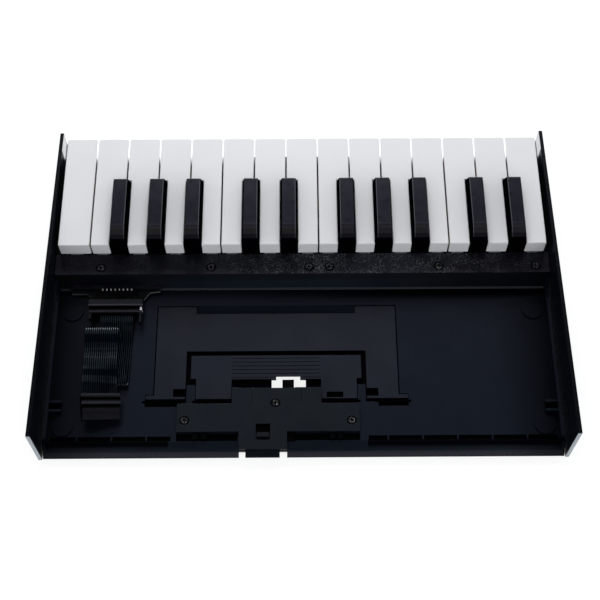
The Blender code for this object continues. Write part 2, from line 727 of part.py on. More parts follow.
def make_rail():
    """The ledge behind the keys and the wall that falls from it to the bay's floor."""
    half = TRAY_HALF
    foot = BAY_FLOOR + GAP
    lip_reach, lip_rise = RAIL_LIP
    under = RAIL_TOP - RAIL_THICKNESS
    side = [
        (RAIL_FRONT, under),
        (RAIL_FRONT, RAIL_TOP),
        (RAIL_BACK, RAIL_TOP),
        (RAIL_FOOT - 0.35, foot + lip_rise),
        (RAIL_FOOT + lip_reach, foot + lip_rise),
        (RAIL_FOOT + lip_reach, foot),
        (RAIL_FOOT - 1.8, foot),
        (RAIL_BACK - 1.4, under),
    ]
    part = outlines("rear_rail", [(side, -half, half)], "X", BLACK_PLASTIC)
    inside = half - TRAY_WALL - GAP
    wall_y = (RAIL_BACK - 4.0, RAIL_FOOT + 2.0)
    board_way = (HEADER_CENTRE_X - 26.6, HEADER_CENTRE_X + 29.0)
    cuts = [(board_way, wall_y, (0.0, BOARD_Z[1] + 0.9))]
    cuts += [(limits, wall_y, (0.0, under - 0.3)) for limits in ((-half - 1, -inside), (inside, half + 1))]
    combine(part, blocks("rail_cuts", cuts))
    hood_z = (BOARD_Z[1] + 0.9, BOARD_Z[1] + 1.8)
    hood = outline_mesh("rail_hood", [
        (RAIL_FOOT - 1.5, hood_z[0]), (RAIL_FOOT - 1.5, hood_z[1]), (HOOD_REAR, hood_z[1]), (HOOD_REAR, hood_z[0]),
    ], "X", board_way[0] - 0.5, board_way[1] + 0.5)
    combine(part, keep(hood, "rail_hood", None), "UNION")
    wide = RAIL_SCREW[1] + GAP
    holes = [((x, RAIL_SCREW_Y, 0), wide, wide, 15.0, 25.0) for x in RAIL_SCREW_X]
    combine(part, rods("rail_screw_holes", holes, "Z", segments=10))
    places = [(x, RAIL_SCREW_Y) for x in RAIL_SCREW_X]
    combine(part, sinks_for("rail_screw_sinks", places, RAIL_TOP, RAIL_SCREW))


def make_sunk_screws(name, places, surface, screw):
    """Countersunk cross screws, each a cone on a shank with a cross cut into its head."""
    head_radius, shank_radius, tip = screw
    top = surface - SCREW_SINK
    rise = head_radius - shank_radius
    size = head_radius * 0.55
    bar = head_radius * 0.12
    for number, (x, y) in enumerate(places, start=1):
        own = f"{name}_{number}"
        head = ((x, y, 0), shank_radius, head_radius, top - rise, top)
        shank = ((x, y, 0), shank_radius * 0.97, shank_radius * 0.97, tip, top - rise / 2)
        part = rods(own, [head], "Z", DARK_STEEL, 14)
        combine(part, rods(own + "_shank", [shank], "Z", segments=8), "UNION")
        depth = (top - 0.8, top + 1.0)
        for wide, tall in ((size, bar), (bar, size)):
            cut = blocks(own + "_cross", [(grown((x, x), wide), grown((y, y), tall), depth)])
            combine(part, cut)


def make_frame():
    """The moulded frame under the keys: pivot posts, guide blades and the bars that stop the keys."""
    reach = INSIDE_HALF - 0.7
    plate_y = (TRAY_FRONT + 2.2 + 2 * GAP, PIVOT_Y + 2.7)
    part = blocks("key_frame", [((-reach, reach), plate_y, (TRAY_FLOOR + GAP, 6.4))], FRAME_PLASTIC)
    root = 6.1
    around = (PIVOT_Y - 3.5, PIVOT_Y + 2.6)
    posts = [(limits, around, (root, PIVOT_Z + 2.5)) for limits in post_limits()]
    combine(part, blocks("pivot_posts", posts), "UNION")
    blades = []
    white_blade = (WHITE_PITCH - WHITE_GAP) / 2 - KEY_WALL - BLADE_CLEARANCE
    for index in range(WHITE_COUNT):
        centre = white_centre(index)
        blades.append((grown((centre, centre), white_blade), (-89.0, -86.8), (root, 24.6)))
    for centre in BLACK_CENTRES:
        blade = grown((centre, centre), BLACK_HOLLOW - BLADE_CLEARANCE)
        blades.append((blade, (-57.3, -55.3), (root, 29.0)))
    combine(part, blocks("guide_blades", blades), "UNION")
    reach = INSIDE_HALF - 0.9
    for name, bar_y, legs_between in (
        ("white_bar", WHITE_BAR_Y, white_rear_centres()),
        ("black_bar", BLACK_BAR_Y, BLACK_CENTRES),
    ):
        top = REST_FELT_TOP[bar_y] - FELT_THICKNESS - GAP
        combine(part, blocks(name, [((-reach, reach), bar_y, (BAR_BOTTOM, top))]), "UNION")
        places = [*every_other_middle(legs_between), 1.2 - reach, reach - 1.2]
        deep = (bar_y[0] + 0.1, bar_y[0] + 1.1)
        legs = [(grown((x, x), 1.15), deep, (root, BAR_BOTTOM + 0.3)) for x in places]
        combine(part, blocks(name + "_legs", legs), "UNION")
    seats = [((x, y, 0), 2.4, 2.4, root, BOARD_Z[0] - GAP) for x, y in BOARD_STAKES]
    combine(part, rods("board_seats", seats, "Z", segments=14), "UNION")
    stakes = [((x, y, 0), 1.1, 1.1, root + 0.1, BOARD_Z[1] + 1.0) for x, y in BOARD_STAKES]
    combine(part, rods("board_stakes", stakes, "Z", segments=10), "UNION")
    reach = CASE_WIDTH / 2
    bore = [((0, PIVOT_Y, PIVOT_Z), ROD_RADIUS + 0.12, ROD_RADIUS + 0.12, -reach, reach)]
    combine(part, rods("frame_pivot_bore", bore, "X", segments=12))
    end = INSIDE_HALF - 0.5
    rods("key_pivot_rod", [((0, PIVOT_Y, PIVOT_Z), ROD_RADIUS, ROD_RADIUS, -end, end)], "X", STEEL, 10)


def make_stops_and_contacts():
    """A felt channel over each stop bar, and the rubber strip that the keys press."""
    for name, bar_y in (("white_key_stop_felt", WHITE_BAR_Y), ("black_key_stop_felt", BLACK_BAR_Y)):
        top = REST_FELT_TOP[bar_y]
        front, rear = bar_y[0] + 1.4, bar_y[1] + GAP
        channel = [
            (bar_y[0], top - FELT_THICKNESS),
            (bar_y[0], top),
            (rear + 0.8, top),
            (rear + 0.8, TOE_TOP + GAP),
            (front, TOE_TOP + GAP),
            (front, BAR_BOTTOM - GAP),
            (rear, BAR_BOTTOM - GAP),
            (rear, top - FELT_THICKNESS),
        ]
        outlines(name, [(channel, 1.5 - INSIDE_HALF, INSIDE_HALF - 1.5)], "X", FELT)
    strip = (grown((0, 0), KEYS_HALF - 3.6), (CONTACT_Y - 4.0, CONTACT_Y + 4.0), (BOARD_Z[1] + GAP, 10.3))
    part = blocks("rubber_contact_strip", [strip], GREY_RUBBER)
    domes = []
    for centre in (*white_rear_centres(), *BLACK_CENTRES):
        domes.append(((centre, CONTACT_Y, 0), 3.0, 2.0, 10.1, DOME_TOP))
    combine(part, rods("contact_domes", domes, "Z", segments=8), "UNION")


def make_board():
    wing = [
        (4.6, -26.0), (4.6, -9.0), (28.4, -9.0), (28.4, -0.1), (19.7, -0.1), (12.7, 3.9), (-16.1, 4.4),
        (-19.9, -0.8), (-26.0, -1.6), (-26.0, -9.0), (-17.4, -9.0), (-17.4, -26.0),
    ]
    plan = [(-BOARD_HALF, -54.5), (BOARD_HALF, -54.5), (BOARD_HALF, -26.0)]
    plan += [(HEADER_CENTRE_X + x, y) for x, y in wing]
    plan += [(-BOARD_HALF, -26.0)]
    part = outlines("main_board", [(plan, *BOARD_Z)], "Z", BOARD_GREEN)
    holes = [((x, y, 0), 1.4, 1.4, 5.0, 12.0) for x, y in BOARD_STAKES]
    combine(part, rods("board_stake_holes", holes, "Z", segments=10))


def pin_columns():
    return [HEADER_CENTRE_X + (column - 3.5) * PIN_PITCH for column in range(8)]


def make_connector():
    """The box header on the board, its sixteen pins, and the ribbon's socket with its clip."""
    centre = HEADER_CENTRE_X
    body = [(grown((centre, centre), 16.7), HEADER_Y, (6.5, 15.5))]
    header = blocks("box_header", body, BLACK_PLASTIC)
    block = [(grown((centre, centre), 12.4), (0.3, HEADER_Y[0] + 0.4), (BOARD_Z[1] + GAP, 14.2))]
    combine(header, blocks("header_block", block), "UNION")
    pocket = [(grown((centre, centre), 14.4), (HEADER_Y[0] + 2.0, 14.0), (7.9, 14.1))]
    combine(header, blocks("header_pocket", pocket))
    chamfer(header, 0.25)

    level = []
    upright = []
    for x in pin_columns():
        for y, z in zip(PIN_ROWS_Y, PIN_ROWS_Z):
            level.append((grown((x, x), 0.3), (y - 0.3, HEADER_Y[1] - 0.6), grown((z, z), 0.3)))
            upright.append((grown((x, x), 0.28), grown((y, y), 0.28), (BOARD_Z[1] + GAP, z)))
    combine(header, blocks("header_pins", level), "UNION")
    combine(header, blocks("header_pin_legs", upright), "UNION")

    socket = blocks(
        "ribbon_socket",
        [(grown((centre, centre), 14.0), (HEADER_Y[0] + 2.4, CLIP_Y[1] - 0.2), (8.2, 13.4))],
        BLACK_PLASTIC,
    )
    chamfer(socket, 0.3)
    mouths = [(grown((centre, centre), 10.0), (7.0, HEADER_Y[1]), grown((z, z), 0.6)) for z in PIN_ROWS_Z]
    combine(socket, blocks("socket_mouths", mouths))
    bar = [(grown((centre, centre), 16.0), CLIP_Y, (12.6, 14.0))]
    combine(socket, blocks("socket_clip", bar), "UNION")
    arms = [
        ((centre - 16.1, centre - 14.5), (CLIP_Y[0] + 0.2, CLIP_Y[1] + 6.6), (8.8, 13.8)),
        ((centre + 14.5, centre + 16.1), (CLIP_Y[0] + 0.2, CLIP_Y[1] + 4.0), (8.8, 13.8)),
    ]
    combine(socket, blocks("clip_arms", arms), "UNION")


def smooth_route(stops, spacing):
    """Points a fixed distance apart on a smooth curve through the stops, in millimetres."""
    ends = [stops[0] * 2 - stops[1], *stops, stops[-1] * 2 - stops[-2]]
    fine = []
    for a, b, c, d in zip(ends, ends[1:], ends[2:], ends[3:]):
        for step in range(24):
            t = step / 24
            fine.append(0.5 * (2 * b + (c - a) * t + (2 * a - 5 * b + 4 * c - d) * t * t
                               + (3 * b - a - 3 * c + d) * t ** 3))
    fine.append(stops[-1])
    total = sum((q - p).length for p, q in zip(fine, fine[1:]))
    count = round(total / spacing)
    spaced = [fine[0]]
    walked = 0.0
    for p, q in zip(fine, fine[1:]):
        length = (q - p).length
        while len(spaced) < count and walked + length >= len(spaced) * total / count:
            share = (len(spaced) * total / count - walked) / length
            spaced.append(p.lerp(q, share))
        walked += length
    spaced.append(fine[-1])
    return spaced


def make_ribbon():
    """The flat cable, folded back on itself twice.

    A strip is pushed out sideways from the route's side view, each cross line is moved to the route's
    place from side to side, and the last stretch is skewed and leant to lie square to the plug.
    """
    route = smooth_route([Vector(stop) for stop in RIBBON_STOPS], RIBBON_STEP)
    curve = bpy.data.curves.new("ribbon_route", "CURVE")
    curve.dimensions = "2D"
    curve.extrude = RIBBON_WIDTH / 2 * MM
    spline = curve.splines.new("POLY")
    spline.points.add(len(route) - 1)
    for point, stop in zip(spline.points, route):
        point.co = (stop.y * MM, stop.z * MM, 0.0, 1.0)
    holder = bpy.data.objects.new("ribbon_holder", curve)
    mesh = bpy.data.meshes.new_from_object(holder)
    bpy.data.objects.remove(holder)
    bpy.data.curves.remove(curve)
    mesh.transform(OUTLINE_TURN["X"])
    skew = math.tan(math.radians(PLUG_TURN))
    lean = math.tan(math.radians(PLUG_LEAN))
    for vertex in mesh.vertices:
        near = min(route, key=lambda stop: math.hypot(stop.y - vertex.co.y / MM, stop.z - vertex.co.z / MM))
        share = max(0.0, 1.0 - (len(route) - 1 - route.index(near)) * RIBBON_STEP / RIBBON_SKEW_LENGTH)
        vertex.co.y += vertex.co.x * skew * share
        vertex.co.z += vertex.co.x * lean * share
        vertex.co.x += (HEADER_CENTRE_X + near.x) * MM
    part = keep(mesh, "ribbon_cable", CABLE_PLASTIC)
    thick = part.modifiers.new("thickness", "SOLIDIFY")
    thick.thickness = RIBBON_THICKNESS * MM
    thick.offset = 0.0


def make_plug():
    """The connector on the ribbon's free end, which rests on one lower edge and leans sideways."""
    width, depth, height = PLUG_SIZE
    half = width / 2
    rise = BAY_FLOOR + GAP + half * math.sin(math.radians(PLUG_LEAN))
    place = Matrix.Translation((PLUG_PLACE[0] * MM, PLUG_PLACE[1] * MM, rise * MM))
    turn = place @ Matrix.Rotation(math.radians(PLUG_TURN), 4, "Z") @ Matrix.Rotation(math.radians(-PLUG_LEAN), 4, "Y")
    part = blocks("ribbon_plug", [((-half, half), (0.0, depth), (0.0, height))], BLACK_PLASTIC, turn)
    step = [((-12.0, 12.0), (depth - 4.6, depth + 2.0), (height - 0.9, height + 2.0))]
    combine(part, blocks("plug_step", step, None, turn))
    chamfer(part, 0.4)
    mouth = [((-9.4, 9.4), (depth - 4.0, depth + 2.0), (1.6, 4.0))]
    combine(part, blocks("plug_mouth", mouth, None, turn))
    clip = [(grown((0, 0), half + 0.3), (1.0, 7.6), (height - 0.3, height + 1.0))]
    combine(part, blocks("plug_clip", clip, None, turn), "UNION")
    groove = [((-12.0, 12.0), (3.8, 4.6), (height + 0.4, height + 2.0))]
    combine(part, blocks("plug_groove", groove, None, turn))


def hinged_plate(name, plan, barrels, cutters):
    """A flat stand with low hinge barrels and pins behind its rear edge, its origin on the hinge axis."""
    under = BAY_FLOOR - STAND_THICKNESS
    part = outlines(name, [(plan, under, BAY_FLOOR)], "Z", BLACK_PLASTIC)
    for cutter in cutters:
        combine(part, cutter)
    strips = [(limits, (EAR_REAR - 1.0, STAND_AXIS_Y), (under + 0.02, under + 1.1)) for limits in barrels]
    combine(part, blocks(name + "_strips", strips), "UNION")
    round_barrels = []
    pins = []
    for low, high in barrels:
        middle = (0, STAND_AXIS_Y, STAND_AXIS_Z)
        round_barrels.append((middle, BARREL_RADIUS, BARREL_RADIUS, low, high))
        pins.append((middle, PIN_RADIUS, PIN_RADIUS, low - PIN_LENGTH, high + PIN_LENGTH))
    combine(part, rods(name + "_barrels", round_barrels, "X", segments=12), "UNION")
    combine(part, rods(name + "_pins", pins, "X", segments=8), "UNION")
    pivot = Vector((0.0, STAND_AXIS_Y * MM, STAND_AXIS_Z * MM))
    for mesh_object in [part, *[step.object for step in part.modifiers if step.type == "BOOLEAN"]]:
        mesh_object.data.transform(Matrix.Translation(-pivot))
        mesh_object.location = pivot
    return part


def make_stands():
    ear = EAR_REAR
    (left_low, left_high), (right_low, right_high) = LONG_BARRELS
    notch_low, notch_high = NOTCH_X
    window_low, window_high = LONG_WINDOW_X
    long_plan = [
        (LONG_X[0], LONG_FRONT), (notch_low, LONG_FRONT), (notch_low, NOTCH_REAR), (notch_high, NOTCH_REAR),
        (notch_high, LONG_FRONT), (LONG_X[1], LONG_FRONT), (LONG_X[1], 67.0), (right_high, 67.0),
        (right_high, ear), (window_high, ear), (window_high, LONG_WINDOW_FRONT),
        (window_low, LONG_WINDOW_FRONT), (window_low, ear), (left_low, ear), (left_low, 67.0), (LONG_X[0], 67.0),
    ]
    bites = [
        ((window_high - 1.0, 77.8), (62.8, 67.9), (0.0, 9.0)),
        ((-44.8, window_low + 1.0), (62.8, 67.9), (0.0, 9.0)),
    ]
    hinged_plate("tilt_stand_long", long_plan, LONG_BARRELS, [blocks("long_bites", bites)])
    (low_leg, low_in), (high_in, high_leg) = SHORT_LEGS
    catch_low, catch_high = grown(CATCH_X, 3.75)
    catch_front = SHORT_WAIST - 2.3
    short_plan = [
        (SHORT_X[0], SHORT_FRONT), (SHORT_X[1], SHORT_FRONT), (SHORT_X[1], SHORT_EAR), (high_leg, SHORT_EAR),
        (high_leg, ear), (high_in, ear), (high_in, SHORT_WAIST), (catch_high, SHORT_WAIST),
        (catch_high, catch_front), (catch_low, catch_front), (catch_low, SHORT_WAIST), (low_in, SHORT_WAIST),
        (low_in, ear), (low_leg, ear), (low_leg, SHORT_EAR), (SHORT_X[0], SHORT_EAR),
    ]
    grooves = []
    for row in range(6):
        y = SHORT_FRONT + 1.9 + 2.5 * row
        grooves.append(((low_in + 0.6, high_in - 0.2), (y - 0.25, y + 0.25), (BAY_FLOOR - 0.3, 9.0)))
    slot = [((-23.8, -13.9), (65.0, 68.6), (0.0, 9.0))]
    cutters = [blocks("grip_grooves", grooves), blocks("short_slot", slot)]
    hinged_plate("tilt_stand_short", short_plan, SHORT_LEGS, cutters)


def make_latch():
    base = BAY_FLOOR + GAP
    (left, right), (front, rear) = BRACKET_X, BRACKET_Y
    nose_left, nose_right = BRACKET_NOSE_X
    plan = [
        (left, front), (nose_left, front), (nose_left, BRACKET_NOSE_FRONT), (nose_right, BRACKET_NOSE_FRONT),
        (nose_right, front), (right, front), (right, rear), (left, rear),
    ]
    bracket = outlines("latch_bracket", [(plan, base, BRACKET_TOP)], "Z", BLACK_PLASTIC)
    chamfer(bracket, 0.25)
    level = BRACKET_TOP - 0.05
    tongue = [
        (rear - 1.4, base + 0.05), (rear - 1.4, level), (97.2, level), (TONGUE_REAR, 6.7),
        (TONGUE_REAR, 5.9), (98.8, base + 0.05),
    ]
    combine(bracket, outlines("bracket_tongue", [(tongue, *TONGUE_X)], "X"), "UNION")
    creases = [((x - 0.2, x + 0.2), (BRACKET_NOSE_FRONT - 1, 73.2), (BRACKET_TOP - 0.6, 10.0)) for x in (30.5, 1.1)]
    combine(bracket, blocks("bracket_creases", creases))
    combine(bracket, blocks("bracket_window", [((19.6, 28.1), (86.4, 96.4), (0.0, 12.0))]))
    holes = [((x, y, 0), 1.3, 1.3, 0.0, 12.0) for x, y in BRACKET_SCREWS]
    combine(bracket, rods("bracket_holes", holes, "Z", segments=10))
    combine(bracket, sinks_for("bracket_sinks", BRACKET_SCREWS, BRACKET_TOP, BRACKET_SCREW))
    hook = [(rear - 0.8, 6.6), (rear - 0.8, 7.7), (rear + 4.0, 7.7), (rear + 4.0, 4.8), (rear + 2.8, 4.8)]
    hook.append((rear + 2.8, 6.6))
    clips = []
    for low, high in ((57.0, 65.4), (-23.2, -15.4)):
        clips += [(hook, low, low + 3.0), (hook, high - 3.0, high)]
    combine(bracket, outlines("bracket_clips", clips, "X"), "UNION")

    low = RECESS_FLOOR + GAP
    top = BAY_FLOOR - 0.1
    slider = blocks("latch_slider", [(SLIDER_X, SLIDER_Y, (low, top))], BLACK_PLASTIC)
    catch = [(CATCH_X, (CATCH_FRONT, SLIDER_Y[0] + 1.0), (low, top - 0.01))]
    combine(slider, blocks("slider_catch", catch), "UNION")
    tab = [
        (SLIDER_Y[1] - 1.0, low), (SLIDER_Y[1] - 1.0, 5.5), (101.8, 5.5), (103.4, 5.2),
        (103.4, 4.7), (TAB_REAR, 4.3), (TAB_REAR, low),
    ]
    combine(slider, outlines("slider_tab", [(tab, *TAB_X)], "X"), "UNION")
    block = [((20.4, 27.4), (91.4, 94.2), (top - 0.5, 8.4))]
    combine(slider, blocks("slider_block", block), "UNION")
    x, y = MIDDLE_SCREW
    slot = [(grown((x, x), 3.1), (y - 3.1, y + 3.1 + SLIDER_TRAVEL), (0.0, 9.0))]
    combine(slider, blocks("slider_slot", slot))
    pocket = [(grown((SPRING_X,) * 2, 1.5), (60.0, SPRING_REAR + GAP), (0.0, 9.0))]
    combine(slider, blocks("spring_pocket", pocket))

    turns = 6
    steps = 8
    front = HOLE_Y[1] - 0.4 + GAP
    curve = bpy.data.curves.new("latch_spring", "CURVE")
    curve.dimensions = "3D"
    curve.bevel_depth = 0.16 * MM
    curve.bevel_resolution = 1
    curve.use_fill_caps = True
    wire = curve.splines.new("POLY")
    wire.points.add(turns * steps)
    for index, point in enumerate(wire.points):
        angle = 2 * math.pi * index / steps
        along = front + 0.2 + (SPRING_REAR - front - 0.4) * index / (turns * steps)
        spot = (SPRING_X + 0.85 * math.cos(angle), along, SPRING_Z + 0.85 * math.sin(angle))
        point.co = (*[value * MM for value in spot], 1.0)
    holder = bpy.data.objects.new("spring_holder", curve)
    mesh = bpy.data.meshes.new_from_object(holder)
    bpy.data.objects.remove(holder)
    bpy.data.curves.remove(curve)
    work = bmesh.new()
    work.from_mesh(mesh)
    bmesh.ops.remove_doubles(work, verts=work.verts, dist=1e-7)
    bmesh.ops.recalc_face_normals(work, faces=work.faces)
    work.to_mesh(mesh)
    work.free()
    keep(mesh, "latch_spring", STEEL)


def make_feet():
    for number, (x, y) in enumerate(FOOT_PLACES, start=1):
        rods(f"rubber_foot_{number}", [((x, y, 0), 5.4, 6.0, 0.0, TRAY_BOTTOM + 0.5)], "Z", BLACK_RUBBER, 24)


def main():
    make_side_panels()
    make_tray()
    make_rail()
    make_frame()
    make_keys()
    make_stops_and_contacts()
    make_board()
    make_connector()
    make_ribbon()
    make_plug()
    make_stands()
    make_latch()
    make_feet()
    rail_places = [(x, RAIL_SCREW_Y) for x in RAIL_SCREW_X]
    make_sunk_screws("rail_screw", rail_places, RAIL_TOP, RAIL_SCREW)
    make_sunk_screws("bracket_screw", BRACKET_SCREWS, BRACKET_TOP, BRACKET_SCREW)


main()
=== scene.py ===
"""The look of the mini keyboard, in the same frame as its solids: +Z up, the player on the -Y side
and the open bay on the +Y side.

Places and sizes are in millimetres unless a comment says otherwise, angles in degrees, and colours in
linear red, green and blue.
"""

import math

import bpy
import numpy as np
from mathutils import Matrix, Vector


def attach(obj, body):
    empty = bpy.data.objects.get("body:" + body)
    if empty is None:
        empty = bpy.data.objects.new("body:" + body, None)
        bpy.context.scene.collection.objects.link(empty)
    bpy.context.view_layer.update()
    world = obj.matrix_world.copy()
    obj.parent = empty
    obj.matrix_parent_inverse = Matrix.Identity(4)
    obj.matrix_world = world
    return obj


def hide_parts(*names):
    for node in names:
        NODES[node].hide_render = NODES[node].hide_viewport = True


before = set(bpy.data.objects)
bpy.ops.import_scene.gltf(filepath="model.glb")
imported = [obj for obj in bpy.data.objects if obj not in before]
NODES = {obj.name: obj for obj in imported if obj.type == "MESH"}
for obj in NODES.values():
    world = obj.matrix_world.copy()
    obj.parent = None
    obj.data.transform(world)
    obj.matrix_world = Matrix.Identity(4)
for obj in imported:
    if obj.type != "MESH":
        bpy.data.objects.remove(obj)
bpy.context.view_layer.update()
MM = 0.001

# Camera, in metres and degrees
CAMERA_PLACE = (0.00383, 0.34301, 0.6667)
CAMERA_YAW, CAMERA_PITCH, CAMERA_ROLL = -0.374, 62.799, 0.007
FOCAL_PIXELS, PHOTO_PIXELS = 1197.2, 600.0
SENSOR_WIDTH = 36.0

# Ribbon cable and its two connectors
RIBBON_WIDTH = 20.3
RIBBON_CORES = 16
RIBBON_SPACING = 0.9
RIBBON_SKEW_LENGTH = 18.0
WEB_HALF_THICKNESS = 0.16
CORE_RISE = 0.29
CORE_FULLNESS = 0.7
EDGE_HALF_THICKNESS = 0.05
POINTS_PER_CORE = 6
HEADER_CENTRE_X = 114.4
PLUG_TURN = 7.6
PLUG_LEAN = 18.0
PLUG_CORNER_X, PLUG_CORNER_Y = HEADER_CENTRE_X + 7.1, 69.2
RIBBON_STOPS = (
    (-0.8, 15.5, 11.2), (-0.8, 21.0, 11.0), (-0.7, 27.0, 8.8), (-0.5, 34.0, 7.1), (-0.3, 46.0, 6.9),
    (0.0, 57.0, 6.95), (0.3, 60.7, 7.4), (0.6, 62.0, 8.8), (0.9, 60.5, 10.2), (2.2, 52.0, 10.4),
    (3.9, 42.0, 10.7), (5.5, 32.0, 11.6), (6.3, 27.4, 12.4), (6.7, 25.7, 14.2), (6.9, 27.4, 16.1),
    (6.9, 33.0, 16.0), (6.8, 40.0, 14.4), (6.7, 46.5, 15.2), (6.6, 53.0, 14.8), (6.5, 58.5, 14.2),
    (6.3, 63.5, 13.3), (6.15, 68.7, 12.7),
)

# How much each node's edges are rounded
KEY_EDGE = 0.18
EDGES = (
    ("rear_rail", 0.2), ("latch_bracket", 0.15), ("tilt_stand_long", 0.2), ("tilt_stand_short", 0.2),
    ("bottom_tray", 0.2), ("box_header", 0.12), ("ribbon_socket", 0.15), ("ribbon_plug", 0.15),
    ("side_panel_left", 0.12), ("side_panel_right", 0.12), ("latch_slider", 0.12), ("main_board", 0.12),
)

# Colours that several finishes share
DAYLIGHT = (0.95, 0.97, 1.0)
# The black of painted shade down in deep places
PAINTED_SHADE_BLACK = (0.0008, 0.0010, 0.0016)
DUST = (0.060, 0.055, 0.052)
LATCH_BLACK = (0.0028, 0.0056, 0.0102)
CONNECTOR_TINT = (0.80, 0.80, 1.0)


# Camera

def look_through_camera():
    """The camera behind and above the keyboard, looking towards the keys and 63 degrees down."""
    yaw, pitch, roll = (math.radians(angle) for angle in (CAMERA_YAW, CAMERA_PITCH, CAMERA_ROLL))
    level = Vector((math.sin(yaw), -math.cos(yaw), 0.0))
    ahead = level * math.cos(pitch) - Vector((0, 0, math.sin(pitch)))
    right = Vector((-math.cos(yaw), -math.sin(yaw), 0.0))
    up = right.cross(ahead)
    turn = Matrix((right, up, -ahead)).transposed() @ Matrix.Rotation(roll, 3, "Z")
    data = bpy.data.cameras.new("camera")
    data.sensor_width = SENSOR_WIDTH
    data.lens = SENSOR_WIDTH * FOCAL_PIXELS / PHOTO_PIXELS
    data.clip_start = 0.01
    camera = bpy.data.objects.new("camera", data)
    camera.matrix_world = Matrix.Translation(CAMERA_PLACE) @ turn.to_4x4()
    bpy.context.scene.collection.objects.link(camera)
    bpy.context.scene.camera = camera


# Materials

class Paint:
    """A material being built: a Principled shader and helpers that add nodes to it.

    A helper's value is a node's output, to be passed on to the next helper. Where gloss varies over a
    surface, the specular given here is its usual level.
    """

    def __init__(self, name, colour, roughness, metallic=0.0, specular=0.5):
        self.made = bpy.data.materials.new(name)
        self.made.use_nodes = True
        self.tree = self.made.node_tree
        self.shader = self.tree.nodes["Principled BSDF"]
        self.shader.inputs["Base Color"].default_value = (*colour, 1.0)
        self.shader.inputs["Roughness"].default_value = roughness
        self.shader.inputs["Metallic"].default_value = metallic
        self.shader.inputs["Specular IOR Level"].default_value = specular
        self.place = self.add("ShaderNodeTexCoord").outputs["Object"]

    def add(self, kind, **settings):
        """A new node with the given settings."""
        node = self.tree.nodes.new(kind)
        for key, value in settings.items():
            setattr(node, key, value)
        return node

    def link(self, source, target):
        """Feed one node's output into another's input."""
        self.tree.links.new(source, target)

    # Places and directions

    def in_mm(self, vector):
        """The three parts of a vector given in metres, in millimetres."""
        scaled = self.add("ShaderNodeVectorMath", operation="SCALE")
        scaled.inputs["Scale"].default_value = 1.0 / MM
        self.link(vector, scaled.inputs[0])
        parts = self.add("ShaderNodeSeparateXYZ")
        self.link(scaled.outputs["Vector"], parts.inputs["Vector"])
        return tuple(parts.outputs)

    def places(self):
        """The point's X, Y and Z."""
        return self.in_mm(self.place)

    def off_axis(self, x, y):
        """How far the point lies from the upright line through x and y, as on a circle's radius."""
        across, along, _ = self.places()
        squares = [self.maths("POWER", self.apart(value, at), 2.0) for value, at in ((across, x), (along, y))]
        return self.maths("SQRT", self.maths("ADD", *squares))

    def facing(self, index):
        """The X, Y or Z of the surface's direction, from -1 to 1."""
        parts = self.add("ShaderNodeSeparateXYZ")
        self.link(self.add("ShaderNodeTexCoord").outputs["Normal"], parts.inputs["Vector"])
        return parts.outputs[index]

    def upright(self):
        """How far the surface faces up or down, from 0 on a wall to 1 on a floor."""
        return self.maths("ABSOLUTE", self.facing(2))

    def walls(self):
        """1 on walls and 0 on floors and tops."""
        return self.ramp(self.upright(), 0.75, 0.45)

    # Numbers

    def maths(self, operation, one, other=0.0):
        """One sum on two values, each a number or an output."""
        node = self.add("ShaderNodeMath", operation=operation)
        for socket, value in zip(node.inputs, (one, other)):
            if isinstance(value, (int, float)):
                socket.default_value = value
            else:
                self.link(value, socket)
        return node.outputs["Value"]

    def times(self, one, *others):
        """The product of the values."""
        for other in others:
            one = self.maths("MULTIPLY", one, other)
        return one

    def most(self, one, *others):
        """The largest of the values."""
        for other in others:
            one = self.maths("MAXIMUM", one, other)
        return one

    def rest_of(self, share):
        """What a share leaves of 1."""
        return self.maths("SUBTRACT", 1.0, share)

    def apart(self, value, middle):
        """How far a value lies from the middle, to either side."""
        return self.maths("ABSOLUTE", self.maths("SUBTRACT", value, middle))

    def ramp(self, value, low, high, out_low=0.0, out_high=1.0):
        """A soft step from out_low at low to out_high at high."""
        node = self.add("ShaderNodeMapRange", interpolation_type="SMOOTHSTEP")
        self.link(value, node.inputs["Value"])
        names = ("From Min", "From Max", "To Min", "To Max")
        for name, number in zip(names, (low, high, out_low, out_high)):
            node.inputs[name].default_value = number
        return node.outputs["Result"]

    def between(self, value, low, high, edge):
        """1 where the value lies between low and high, and 0 outside, over an edge of this width."""
        return self.times(self.ramp(value, low - edge, low), self.ramp(value, high + edge, high))

    def noise(self, size, detail=3.0, stretch=None):
        """Noise whose grain is about this size, squeezed along each axis by its stretch if asked."""
        node = self.add("ShaderNodeTexNoise")
        node.inputs["Scale"].default_value = 1.0 / (size * MM)
        node.inputs["Detail"].default_value = detail
        place = self.place
        if stretch is not None:
            scale = self.add("ShaderNodeMapping")
            scale.inputs["Scale"].default_value = stretch
            self.link(self.place, scale.inputs["Vector"])
            place = scale.outputs["Vector"]
        self.link(place, node.inputs["Vector"])
        return node.outputs["Fac"]

    # Colours

    def mix(self, share, one, other):
        """A colour between one and other, each a colour or an output."""
        node = self.add("ShaderNodeMix", data_type="RGBA")
        self.link(share, node.inputs["Factor"])
        for socket, value in ((node.inputs[6], one), (node.inputs[7], other)):
            if isinstance(value, tuple):
                socket.default_value = (*value, 1.0)
            else:
                self.link(value, socket)
        return node.outputs[2]

    def clouds(self, size, dark, light, detail=5.0):
        """A colour that drifts between dark and light in clouds of this size."""
        return self.mix(self.ramp(self.noise(size, detail), 0.3, 0.75), dark, light)

    # What the shader is fed with

    def colours(self, output):
        self.link(output, self.shader.inputs["Base Color"])

    def metallic(self, output):
        self.link(output, self.shader.inputs["Metallic"])

    def specular(self, output):
        self.link(output, self.shader.inputs["Specular IOR Level"])

    def tint(self, colour):
        self.shader.inputs["Specular Tint"].default_value = (*colour, 1.0)

